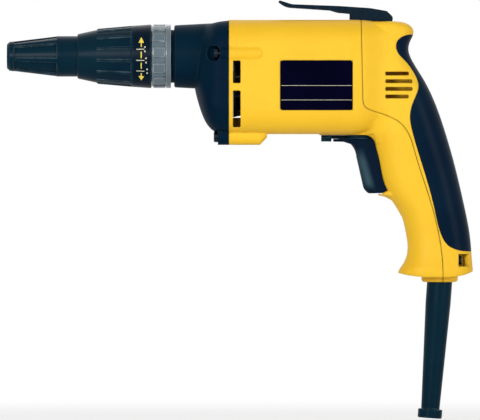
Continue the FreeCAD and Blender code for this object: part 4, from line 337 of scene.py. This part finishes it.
hook_steel = coated_steel("hook_steel", (6, 28, 44), (58, 74, 84), 0.36)
bright_steel = turned_steel("bright_steel", (188, 190, 194), (140, 143, 148), 0.28, (1, 14, 14))
dark_steel = turned_steel("dark_steel", (42, 50, 58), (20, 27, 34), 0.34, (1, 12, 12))
bronze = turned_steel("bronze", (186, 138, 82), (132, 92, 52), 0.34, (1, 10, 10))
dress(hook_steel, "belt_hook")
dress(dark_steel, "gear_case_screws", "belt_hook_screws", "handle_cover_screws", "cord_clamp_screws")
dress(bright_steel, "spindle", "motor_shaft", "drive_gear", "thrust_washer", "nose_snap_ring", "bit_ring",
      "front_bearing", "rear_bearing", "clutch_spring", "brush_springs")
dress(bronze, "spindle_bush", "rear_bush")

# %% [markdown]
# ## Motor and inner mouldings
# Behind the vents sit the field, its coils and the armature. Laminations are stamped sheets about half a
# millimetre thick, and coils are enamelled copper wire. Each sheet and wire could be modelled, but they are hardly
# seen, so bands in the material are enough: fine ones along the shaft for the stack, and wider ones across the coils
# for the wire. The brushes are pressed carbon with a fine grain, and the holders, fan, baffle, switch and clamp are
# plain inner mouldings.

# %% Motor finishes
def banded(name, colour, groove, pitch, axis, roughness, metal, depth):
    """Sheets or wires side by side: sine bands darken the grooves and give the bump, fine spots break them up."""
    made = Finish(name, metal=metal)
    soft = made.rounded(0.2)
    row = made.bands(pitch, axis)
    dull = made.spots(2.5)
    tone = made.blend(made.step(row, 0.05, 0.5), linear(*groove), linear(*colour))
    worn = made.blend(made.step(dull, 0.4, 0.8, 0, 0.5), tone, linear(*groove))
    gloss = made.step(dull, 0.2, 0.8, roughness + 0.1, roughness - 0.08)
    return made.done(worn, gloss, made.relief(row, depth, soft))


laminations = banded("laminations", (112, 114, 120), (58, 60, 66), 0.5, "X", 0.42, 0.9, 0.05)
copper_wire = banded("copper_wire", (176, 92, 46), (92, 40, 22), 0.7, "Z", 0.30, 0.85, 0.18)
copper_bars = banded("copper_bars", (196, 122, 78), (120, 66, 40), 1.4, "X", 0.26, 1.0, 0.01)
carbon = moulded("carbon", (46, 47, 50), (26, 27, 30), (92, 94, 98), 0.5, 0.3, pebble=0.2)
inner_plastic = moulded("inner_plastic", (38, 42, 48), (28, 32, 38), (70, 76, 84), 0.5, 0.3)
plate_metal = turned_steel("plate_metal", (150, 153, 157), (108, 111, 116), 0.4, (10, 10, 1))
dress(laminations, "field_stator", "armature_core")
dress(copper_wire, "field_coils", "armature_windings")
dress(copper_bars, "commutator")
dress(carbon, "carbon_brushes")
dress(inner_plastic, "cooling_fan", "fan_baffle", "brush_holders", "switch_body", "cord_clamp")
dress(plate_metal, "bearing_plate")

# %% [markdown]
# ## Plate on the flank
# The plate is a thin dark film behind clear lacquer, with two plain trim lines that come with the prints below. Its
# gloss is smoother than the shell round it, with faint ripples from the glue. A single glossy colour would look like
# a hole in the shell, so a wide noise moves its tone and its surface a little.

# %% Plate film
def lacquered(name, colour, deep):
    """Dark print under lacquer: a slow drift in colour, smooth gloss and long shallow ripples."""
    made = Finish(name, shine=0.015)
    soft = made.rounded(0.3)
    ripple = made.spots(14)
    dust_and_shade = made.spots(0.6)
    tone = made.blend(made.step(ripple, 0.3, 0.7), linear(*deep), linear(*colour))
    return made.done(tone, made.step(dust_and_shade, 0.3, 0.8, 0.12, 0.20), made.relief(ripple, 0.02, soft))


plate_film = lacquered("plate_film", (2, 3, 29), (1, 1, 24))
dress(plate_film, "name_plate")

# %% [markdown]
# ## Prints on the collar and the plate
# The collar's smooth band carries a double arrow with three marks, pad printed in yellow and cream, and the
# plate has two thin trim lines. A texture could paint them, but a print is a film of ink with its own edge, so
# each mark is a patch worked out on a grid: one parameter runs along the mark, the other across it. On the
# collar the patch is wrapped round the cone of the band. Solidify then gives the ink its thickness.

# %% From points to a piece
def surface(name, points, faces, material, body, smooth=False):
    """One piece from points in metres and lists of point numbers, with its finish, body and material slot. Smooth says
    which faces are shaded smooth: one value for all of them, or one for each."""
    mesh = bpy.data.meshes.new(name)
    mesh.from_pydata(points.reshape(-1, 3).tolist(), [], faces)
    mesh.polygons.foreach_set("use_smooth", np.broadcast_to(smooth, len(faces)).astype(bool))
    mesh.materials.append(material)
    piece = bpy.data.objects.new(name, mesh)
    bpy.context.scene.collection.objects.link(piece)
    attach(piece, body)
    print(name, "on", body, "points:", len(mesh.vertices), "faces:", len(faces))
    return piece


def thicken(piece, thickness, offset):
    """Gives a sheet a wall of this many metres: outwards for an offset of 1, inwards for -1."""
    wall = piece.modifiers.new("wall", "SOLIDIFY")
    wall.thickness = thickness
    wall.offset = offset


# %% Patches of ink
ink_thickness = 0.04 * millimetre
ink_lift = 0.2 * ink_thickness


def grid_faces(rows, columns):
    """Quads of a grid of rows by columns points, counted row by row."""
    first = (np.arange(rows - 1)[:, None] * columns + np.arange(columns - 1)).reshape(-1, 1)
    return first + np.array([0, 1, columns + 1, columns])


def ink(name, patches, material, body, thickness=ink_thickness):
    """One piece from several patches, each a (rows, columns, 3) array of points in metres."""
    counts = np.cumsum([0] + [patch.shape[0] * patch.shape[1] for patch in patches])
    points = np.concatenate([patch.reshape(-1, 3) for patch in patches])
    faces = np.concatenate([grid_faces(*patch.shape[:2]) + count for patch, count in zip(patches, counts)])
    thicken(surface(name, points, faces.tolist(), material, body), thickness, 1.0)


# %% Band of the collar
collar_points = np.empty(3 * len(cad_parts["depth_collar"].data.vertices))
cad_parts["depth_collar"].data.vertices.foreach_get("co", collar_points)
band_radius = np.hypot(collar_points[1::3], collar_points[2::3]).max()
band_rear = collar_high.x
band_slope = 0.85 / 12.15
band_inset = 0.6 * millimetre


def on_band(along, degrees):
    """Points on the collar's band: along is millimetres from its rear, degrees run up from the tool's left side.
    The radius falls off evenly towards the front, as on a cone."""
    along, turn = np.broadcast_arrays(along * millimetre, np.radians(degrees))
    radius = band_radius - (along - band_inset) * band_slope + ink_lift
    return np.stack((band_rear - along, -radius * np.cos(turn), radius * np.sin(turn)), axis=-1)


def band_mark(start, end, middle_along, half_start, half_end, steps=9):
    """A mark that runs round the band from one angle to another, its half width growing evenly between two values."""
    share = np.linspace(0, 1, steps)[:, None]
    across = np.linspace(-1, 1, 5)[None, :]
    half = half_start + (half_end - half_start) * share
    return on_band(middle_along + across * half, start + (end - start) * share)


print("collar band radius:", round(float(band_radius) * 1000, 2), "mm")

# %% Double arrow and marks on the collar
arrow_line = 6.6
tip_half, head_half, stem_half = 0.03, 1.75, 0.34
head_ends = [(37.0, 25.0), (-51.0, -40.0)]
stem_runs = [(25.0, 17.0), (8.0, -4.0), (-12.5, -24.0), (-33.0, -40.0)]
mark_turns = np.array([12.5, -8.2, -28.8])
bar_line, bar_half, bar_turn = arrow_line + 0.6, 2.6, 0.8
dot_line, dot_half, dot_shift = arrow_line - 2.4, 0.45, 0.7
dot_far, dot_near = 5.4, 2.4

arrow = [band_mark(tip, base, arrow_line, tip_half, head_half) for tip, base in head_ends]
arrow += [band_mark(start, end, arrow_line, stem_half, stem_half) for start, end in stem_runs]
marks = [band_mark(turn + bar_turn, turn - bar_turn, bar_line, bar_half, bar_half, 3) for turn in mark_turns]
marks += [band_mark(turn + side * dot_far, turn + side * dot_near, dot_line - dot_shift * rank, dot_half, dot_half, 4)
          for rank, turn in enumerate(mark_turns) for side in (-1, 1)]
print("patches of the arrow:", len(arrow), "of the marks:", len(marks))

# %% Trim lines on the plate
plate_low, plate_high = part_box("name_plate")
line_heights = np.array([0.506, 0.796])
line_width = 0.25 * millimetre
line_inset = 0.5 * millimetre


def plate_line(height_share):
    """A flat strip across the plate: one parameter runs along X, the other over the strip's width in Z."""
    along = np.linspace(plate_low.x + line_inset, plate_high.x - line_inset, 12)
    height = plate_high.z - height_share * (plate_high.z - plate_low.z)
    across = height + np.array([-0.5, 0.5]) * line_width
    x, z = np.meshgrid(along, across, indexing="xy")
    return np.stack((x, np.full_like(x, plate_low.y - ink_lift), z), axis=-1)


trim = [plate_line(share) for share in line_heights]
print("trim lines:", len(trim), "length:", round((plate_high.x - plate_low.x - 2 * line_inset) * 1000, 1), "mm")


# %% Ink on the tool
def printed(name, colour, worn):
    """Pad printed ink: worn through in small spots, dull, with the grain of the part below."""
    made = Finish(name, shine=0.3)
    gaps = made.step(made.spots(0.5), 0.6, 0.72, 0.0, 0.5)
    tone = made.blend(gaps, linear(*colour), linear(*worn))
    gloss = made.step(made.spots(0.4), 0.3, 0.7, 0.5, 0.65)
    return made.done(tone, gloss, made.relief(made.spots(0.45), 0.01, made.rounded(0.05)))


yellow_ink = printed("yellow_ink", (246, 218, 84), (150, 128, 52))
cream_ink = printed("cream_ink", (214, 210, 178), (120, 118, 100))
ink("depth_arrow", arrow, yellow_ink, "collar")
ink("depth_marks", marks, cream_ink, "collar")
ink("plate_lines", trim, cream_ink, "housing")

# %% [markdown]
# ## Rims on the trigger
# The trigger's top carries a low rim on each side, so that no light shows between it and the reverse lever above. A
# rim is only a tenth of a millimetre high, too fine for the solid. A bevelled box could make it, but its outer face is
# all that shows, so each rim is a thin strip that stands on the trigger's top edge.

# %% Trigger rims
rim_height = 0.1 * millimetre
rim_root = 0.4 * millimetre
rim_thickness = 0.3 * millimetre
rim_front, rim_rear = trigger_low.x + 3 * millimetre, trigger_low.x + 26 * millimetre
rim_aside = trigger_high.y - 1.2 * millimetre


def rim(side):
    """A standing strip: one parameter runs along X, the other from just inside the trigger's top up to the rim's."""
    up = trigger_high.z + np.array([-rim_root, rim_height])
    x, z = np.meshgrid(np.linspace(rim_front, rim_rear, 12), up[::side], indexing="xy")
    return np.stack((x, np.full_like(x, side * rim_aside), z), axis=-1)


ink("trigger_rims", [rim(-1), rim(1)], trigger_plastic, "trigger", rim_thickness)

# %% [markdown]
# ## Clutch spring
# A coil of round wire holds the clutch open until the nose is pressed on a board. The solid coil can't shorten, so
# it would run into the gear as the spindle goes back. An armature, a lattice or a squash along the spindle could
# close a coil; here a circle is carried along a helix to make one, and it takes the solid coil's place.

# %% Coil of round wire
spring_low, spring_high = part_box("clutch_spring")
spring_wire = 0.4 * millimetre
spring_turns = 3
coil_steps, coil_sides = 97, 10


def coil(steps, sides):
    """A circle round a helix on the X axis: X climbs evenly with the turn, and the circle lies along radius and X."""
    turn = np.linspace(0, 2 * math.pi * spring_turns, steps)[:, None]
    circle = np.linspace(0, 2 * math.pi, sides, endpoint=False)[None, :]
    climb = (spring_high.x - spring_low.x - 2 * spring_wire) * turn / turn[-1]
    radius = spring_high.y - spring_wire + spring_wire * np.cos(circle)
    x = spring_low.x + spring_wire + climb + spring_wire * np.sin(circle)
    return np.stack((x, radius * np.cos(turn), radius * np.sin(turn)), axis=-1)


def ring_faces(rows, columns):
    """Quads between rows of points that each close into a ring, counted row by row."""
    start = np.arange(rows - 1)[:, None] * columns
    first = (start + np.arange(columns)).ravel()
    after = (start + (np.arange(columns) + 1) % columns).ravel()
    return np.stack((first, first + columns, after + columns, after), axis=-1)


front_end = np.arange(coil_sides)
rear_end = (front_end + (coil_steps - 1) * coil_sides)[::-1]
coil_faces = ring_faces(coil_steps, coil_sides).tolist() + [front_end.tolist(), rear_end.tolist()]
closing_spring = surface("closing_spring", coil(coil_steps, coil_sides), coil_faces, bright_steel, "spindle",
                         smooth=np.arange(len(coil_faces)) < len(coil_faces) - 2)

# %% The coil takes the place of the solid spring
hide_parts("clutch_spring")
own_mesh(closing_spring)

# %% [markdown]
# ## Fillets between barrel and handle
# On the moulding the barrel runs into the handle with a generous fillet, while the solids meet in a crease. A bevel
# would need one clean edge all along it. But a fillet is also what a ball leaves that rolls along the crease, so the
# shell's flank is measured as a map of heights, one ray for each point of a grid, and a ball is rolled over the map:
# where the ball can't reach the ground, its underside is the fillet. At its border the sheet dips just below the
# shell, and outside the crease it is left out.

# %% Map of the flank
map_step = 0.6 * millimetre
map_front, map_foot = trigger_low.x + 14 * millimetre, trigger_high.z - 24 * millimetre
map_length, map_height = 48 * millimetre, 66 * millimetre
map_x, map_z = np.meshgrid(np.arange(map_front, map_front + map_length, map_step),
                           np.arange(map_foot, map_foot + map_height, map_step))
clear_of_tool = 0.1


def ray_tree(node):
    """Faces of a node, sorted for rays."""
    return BVHTree.FromObject(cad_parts[node], bpy.context.evaluated_depsgraph_get())


def flank(node):
    """Map of how far a node stands out to the tool's left: where a ray along Y first hits it at each X and Z, or 0."""
    tree = ray_tree(node)

    def out(x, z):
        hit = tree.ray_cast((x, -clear_of_tool, z), (0.0, 1.0, 0.0))[0]
        return -hit.y if hit else 0.0

    return np.vectorize(out)(map_x, map_z)


shell_map, cover_map = flank("motor_housing"), flank("handle_cover")
ground = np.maximum(shell_map, cover_map)
print("flank map:", ground.shape, "stands out by up to", round(float(ground.max()) * 1000, 1), "mm")

# %% Rolling the ball
ball_radius = 11 * millimetre


def rolled(heights, radius, step):
    """Ball rolled over a map of heights: the highest of its centres round each point, then the lowest of its
    undersides. Both are a largest or smallest value over shifted copies of the whole map."""
    reach = int(radius / step)
    apart = np.arange(-reach, reach + 1) * step
    square = apart[:, None] ** 2 + apart ** 2
    drop = radius - np.sqrt(np.maximum(radius ** 2 - square, 0))
    shifts = np.argwhere(square < radius ** 2)
    rows, columns = heights.shape
    low = np.pad(heights, reach, constant_values=-1.0)
    raised = np.max([low[i:i + rows, j:j + columns] - drop[i, j] for i, j in shifts], axis=0)
    high = np.pad(raised, reach, constant_values=1.0)
    return np.min([high[i:i + rows, j:j + columns] + drop[i, j] for i, j in shifts], axis=0)


filled = rolled(ground, ball_radius, map_step)
print("ball of", ball_radius * 1000, "mm rolled over", filled.size, "points")

# %% Soft borders
least_out = 6 * millimetre
fade_start, fade_end = 2 * millimetre, 14 * millimetre
border_sink = 0.08 * millimetre
border_rise = 0.5 * millimetre
border_cells = 2


def soft_step(value, low, high):
    """Smooth step of whole arrays: 0 below low, 1 above high, and three squares less two cubes between them."""
    share = np.clip((value - low) / (high - low), 0, 1)
    return share ** 2 * (3 - 2 * share)


on_shell = (shell_map >= cover_map) & (shell_map > least_out)
fade = soft_step(map_x, map_front + fade_start, map_front + fade_end)
fade *= soft_step(map_z, map_foot + fade_start, map_foot + fade_end)
fill = np.where(on_shell, filled - ground, 0.0) * fade
fillet_out = ground + fill - border_sink * (1 - soft_step(fill, 0, border_rise))
rows, columns = fill.shape
deep = np.pad(fill > 0.2 * border_sink, border_cells)
near_cells = range(2 * border_cells + 1)
near = np.max([deep[i:i + rows, j:j + columns] for i in near_cells for j in near_cells], axis=0)
kept = near & on_shell
print("fillet points:", int(kept.sum()), "deepest:", round(float(fill.max()) * 1000, 2), "mm")

# %% Fillets on both sides
fillet_wall = 0.4 * millimetre
yellow_fillet = yellow_nylon("yellow_fillet", rounding=0.02)


def fillet(name, side):
    """Fillet on one side: the map of heights as a surface over X and Z, without the quads that have a point outside
    its border, thickened inwards into the wall."""
    points = np.stack((map_x, side * fillet_out, map_z), axis=-1)[::-side].reshape(-1, 3)
    faces = grid_faces(*kept.shape)
    faces = faces[kept[::-side].ravel()[faces].all(axis=1)]
    used, numbers = np.unique(faces, return_inverse=True)
    sheet = surface(name, points[used], numbers.reshape(-1, 4).tolist(), yellow_fillet, "housing",
                    smooth=True)
    thicken(sheet, fillet_wall, -1.0)


fillet("left_fillet", -1)
fillet("right_fillet", 1)

# %% [markdown]
# ## Corners above the trigger
# Beside the trigger the flat bottom of the barrel turns down into the handle's front with a round corner, while the
# solids meet at an angle. The ball above rolls over the flanks and can't reach this corner. So for each place across
# the cheek a ray finds the bottom and two rays find the handle's front, and an arc is laid against both lines.

# %% Two lines to lay an arc against
cheek = np.linspace(10.4, 14.6, 9) * millimetre
bottom_place = trigger_low.x + 18 * millimetre
front_depths = 6 * millimetre, 12 * millimetre


def cheek_lines(side):
    """Bottom of the barrel, then the handle's front at two depths below it, for each place across the cheek."""
    tree = ray_tree("motor_housing")

    def lines(y):
        bottom = tree.ray_cast((bottom_place, side * y, trigger_low.z), (0.0, 0.0, 1.0))[0].z
        fronts = [tree.ray_cast((trigger_low.x, side * y, bottom - depth), (1.0, 0.0, 0.0))[0].x
                  for depth in front_depths]
        return bottom, *fronts

    return np.vectorize(lines)(cheek)


def arcs(bottom, upper, lower, radius, steps):
    """Arcs in X and Z, each tangent to a level line and to a leaning one. The centre lies on the line that halves
    their angle, and the arc turns evenly from one point of touch to the other. Gives the arcs and the lines' meeting
    points."""
    lean = (lower - upper) / (front_depths[1] - front_depths[0])
    meet = np.stack((upper - lean * front_depths[0], bottom), axis=-1)
    ahead = np.stack((-np.ones_like(lean), np.zeros_like(lean)), axis=-1)
    down = np.stack((lean, -np.ones_like(lean)), axis=-1) / np.hypot(lean, 1)[:, None]
    half = np.arccos((ahead * down).sum(axis=1, keepdims=True)) / 2
    halving = (ahead + down) / np.linalg.norm(ahead + down, axis=1, keepdims=True)
    centre = meet + halving * radius / np.sin(half)
    start = meet + ahead * radius / np.tan(half) - centre
    end = meet + down * radius / np.tan(half) - centre
    turn = math.pi - 2 * half[:, :, None]
    share = np.linspace(0, 1, steps)[None, :, None]
    arc = np.sin((1 - share) * turn) * start[:, None] + np.sin(share * turn) * end[:, None]
    return centre[:, None] + arc / np.sin(turn), meet


for side in (-1, 1):
    bottom, upper, lower = (round(float(line.mean()) * 1000, 1) for line in cheek_lines(side))
    print("bottom at", bottom, "mm, front from", upper, "to", lower, "mm")

# %% Round corners
corner_radius = 8 * millimetre
corner_root = 0.6 * millimetre
corner_steps = 14
sharp_edge = math.radians(40)


def round_corner(name, side):
    """Wedge between an arc and the walls: each place across the cheek has a loop of the arc's points and one point a
    little inside the walls, the loops are joined, and a fan of triangles closes each end."""
    arc, meet = arcs(*cheek_lines(side), corner_radius, corner_steps)
    loops = np.concatenate((arc, meet[:, None] + corner_root), axis=1)
    across = np.broadcast_to(side * cheek[:, None], loops.shape[:2])
    points = np.stack((loops[..., 0], across, loops[..., 1]), axis=-1)
    places, ring = loops.shape[:2]
    walls = ring_faces(places, ring)[:, ::side]
    along = np.arange(corner_steps - 1)
    inner_end = np.stack((np.full_like(along, corner_steps), along, along + 1), axis=-1)[:, ::side]
    outer_end = (inner_end + (places - 1) * ring)[:, ::-1]
    faces = walls.tolist() + inner_end.tolist() + outer_end.tolist()
    piece = surface(name, points, faces, yellow_shell, "housing", smooth=True)
    piece.data.set_sharp_from_angle(angle=sharp_edge)


round_corner("left_corner", -1)
round_corner("right_corner", 1)

# %% [markdown]
# ## Floor and surroundings
# A product picture on white: a pale floor just below the tool, and white surroundings that only the camera and
# reflections see at full strength. A backdrop with more lamps on it would turn white too, but it would wash out the
# tool, so a Light Path node tells the rays that see the white from those that light the tool.

# %% Rays that see the white
def seen_directly(tree):
    """Share that is 1 for camera, glossy and transmission rays, and 0 for the light that falls on the tool."""
    rays = tree.nodes.new("ShaderNodeLightPath").outputs
    share = rays["Is Camera Ray"]
    for name in ("Is Glossy Ray", "Is Transmission Ray"):
        either = tree.nodes.new("ShaderNodeMath")
        either.operation = "MAXIMUM"
        tree.links.new(share, either.inputs[0])
        tree.links.new(rays[name], either.inputs[1])
        share = either.outputs["Value"]
    return share


# %% White surroundings
def white_world(ambient):
    """Surroundings of strength 1 where they are seen, and of the ambient strength where they light the tool."""
    world = bpy.data.worlds.new("white_surroundings")
    world.use_nodes = True
    tree = world.node_tree
    strength = tree.nodes.new("ShaderNodeMapRange")
    strength.inputs["To Min"].default_value = ambient
    strength.inputs["To Max"].default_value = 1.0
    tree.links.new(seen_directly(tree), strength.inputs["Value"])
    background = tree.nodes["Background"]
    background.inputs["Color"].default_value = (1, 1, 1, 1)
    tree.links.new(strength.outputs["Result"], background.inputs["Strength"])
    bpy.context.scene.world = world
    print(world.name, "light the tool at", ambient)


white_world(ambient=0.25)

# %% Pale floor
paper_dark, paper_pale = (0.90, 0.90, 0.90, 1), (0.94, 0.94, 0.94, 1)
glow_near, glow_far = 0.15, 0.9
least_glow = 0.7


def pale_floor(height, reach):
    """Square floor, helped to white by a share of its own light where it is seen: a smooth step of the distance
    from the tool, so that the shadow stays and the far edge fades into the surroundings."""
    corners = np.array([(-1, -1), (1, -1), (1, 1), (-1, 1)]) * reach
    points = np.column_stack((corners, np.full(4, height)))
    mesh = bpy.data.meshes.new("floor")
    mesh.from_pydata(points.tolist(), [], [(0, 1, 2, 3)])
    floor = bpy.data.objects.new("floor", mesh)
    bpy.context.scene.collection.objects.link(floor)
    made = Finish("floor_paper", shine=0.1)
    paper = made.spots(30)
    material = made.done(made.blend(paper, paper_dark, paper_pale), 0.9, made.rounded(0.1))
    glow = made.add("Emission", {"Color": (1, 1, 1, 1), "Strength": 1.0})
    below_tool = (0.2, 0.0, height)
    away = made.add("VectorMath", {0: made.place, 1: below_tool}, operation="DISTANCE").outputs["Value"]
    share = made.sum("MULTIPLY", seen_directly(made.tree), made.step(away, glow_near, glow_far, least_glow, 1.0))
    mixed = made.add("MixShader")
    made.tree.links.new(share, mixed.inputs[0])
    made.tree.links.new(made.shader.outputs["BSDF"], mixed.inputs[1])
    made.tree.links.new(glow.outputs["Emission"], mixed.inputs[2])
    made.tree.links.new(mixed.outputs["Shader"], made.tree.nodes["Material Output"].inputs["Surface"])
    mesh.materials.append(material)


floor_height = cad_box[0].z - 0.5 * millimetre
pale_floor(floor_height, reach=6.0)
print("floor at", round(floor_height, 4))

# %% [markdown]
# ## Lamps
# A single large lamp would light everything evenly and leave the black parts flat. The picture has a small soft
# box a little left of the camera, which draws a line of light along each rib, a broad weak one from the right for
# the grip, and a large one behind and above, so that the far side can be looked at too. Their strengths are set so
# that a colour comes out about as it is written.

# %% Soft boxes
def soft_box(name, place, target, size, watts):
    """Square area lamp at a place, turned towards a target."""
    lamp = bpy.data.lights.new(name, "AREA")
    lamp.size = size
    lamp.energy = watts
    lamp_object = bpy.data.objects.new(name, lamp)
    lamp_object.location = place
    heading = np.array(target) - np.array(place)
    lamp_object.rotation_euler = (math.atan2(math.hypot(heading[0], heading[1]), -heading[2]), 0.0,
                                  math.atan2(-heading[0], heading[1]))
    bpy.context.scene.collection.objects.link(lamp_object)


middle = (0.5 * (cad_box[0] + cad_box[1])).to_tuple()
soft_box("key_box", (-0.55, -2.0, 0.4), middle, 0.5, 23.0)
soft_box("fill_box", (1.8, -1.4, 0.3), middle, 0.9, 13.0)
soft_box("back_box", (0.3, 1.5, 1.4), middle, 2.0, 12.0)
print("lamps round", [round(x, 3) for x in middle])

# %% [markdown]
# ## Camera
# The tool is seen square from its left side, from far away, so that near and far edges line up. The lens follows
# from the distance and from the scale of the picture: so many millimetres of the tool to one pixel. The mouth of
# the nosepiece is the origin of the model, and one named pixel says where it lies in the picture.

# %% Camera
picture_width, picture_height = 480, 420
millimetres_per_pixel = 0.65
nose_pixel = (7.0, 56.35)
distance = 8.0

camera_data = bpy.data.cameras.new("camera")
camera_data.sensor_width = 36.0
camera_data.lens = camera_data.sensor_width * distance / (picture_width * millimetres_per_pixel * millimetre)
camera = bpy.data.objects.new("camera", camera_data)
camera.location = ((picture_width / 2 - nose_pixel[0]) * millimetres_per_pixel * millimetre, -distance,
                   (nose_pixel[1] - picture_height / 2) * millimetres_per_pixel * millimetre)
camera.rotation_euler = (math.pi / 2, 0.0, 0.0)
bpy.context.scene.collection.objects.link(camera)
bpy.context.scene.camera = camera
bpy.context.scene.view_settings.view_transform = "Standard"
print("lens", round(camera_data.lens, 1), "at", [round(x, 4) for x in camera.location])
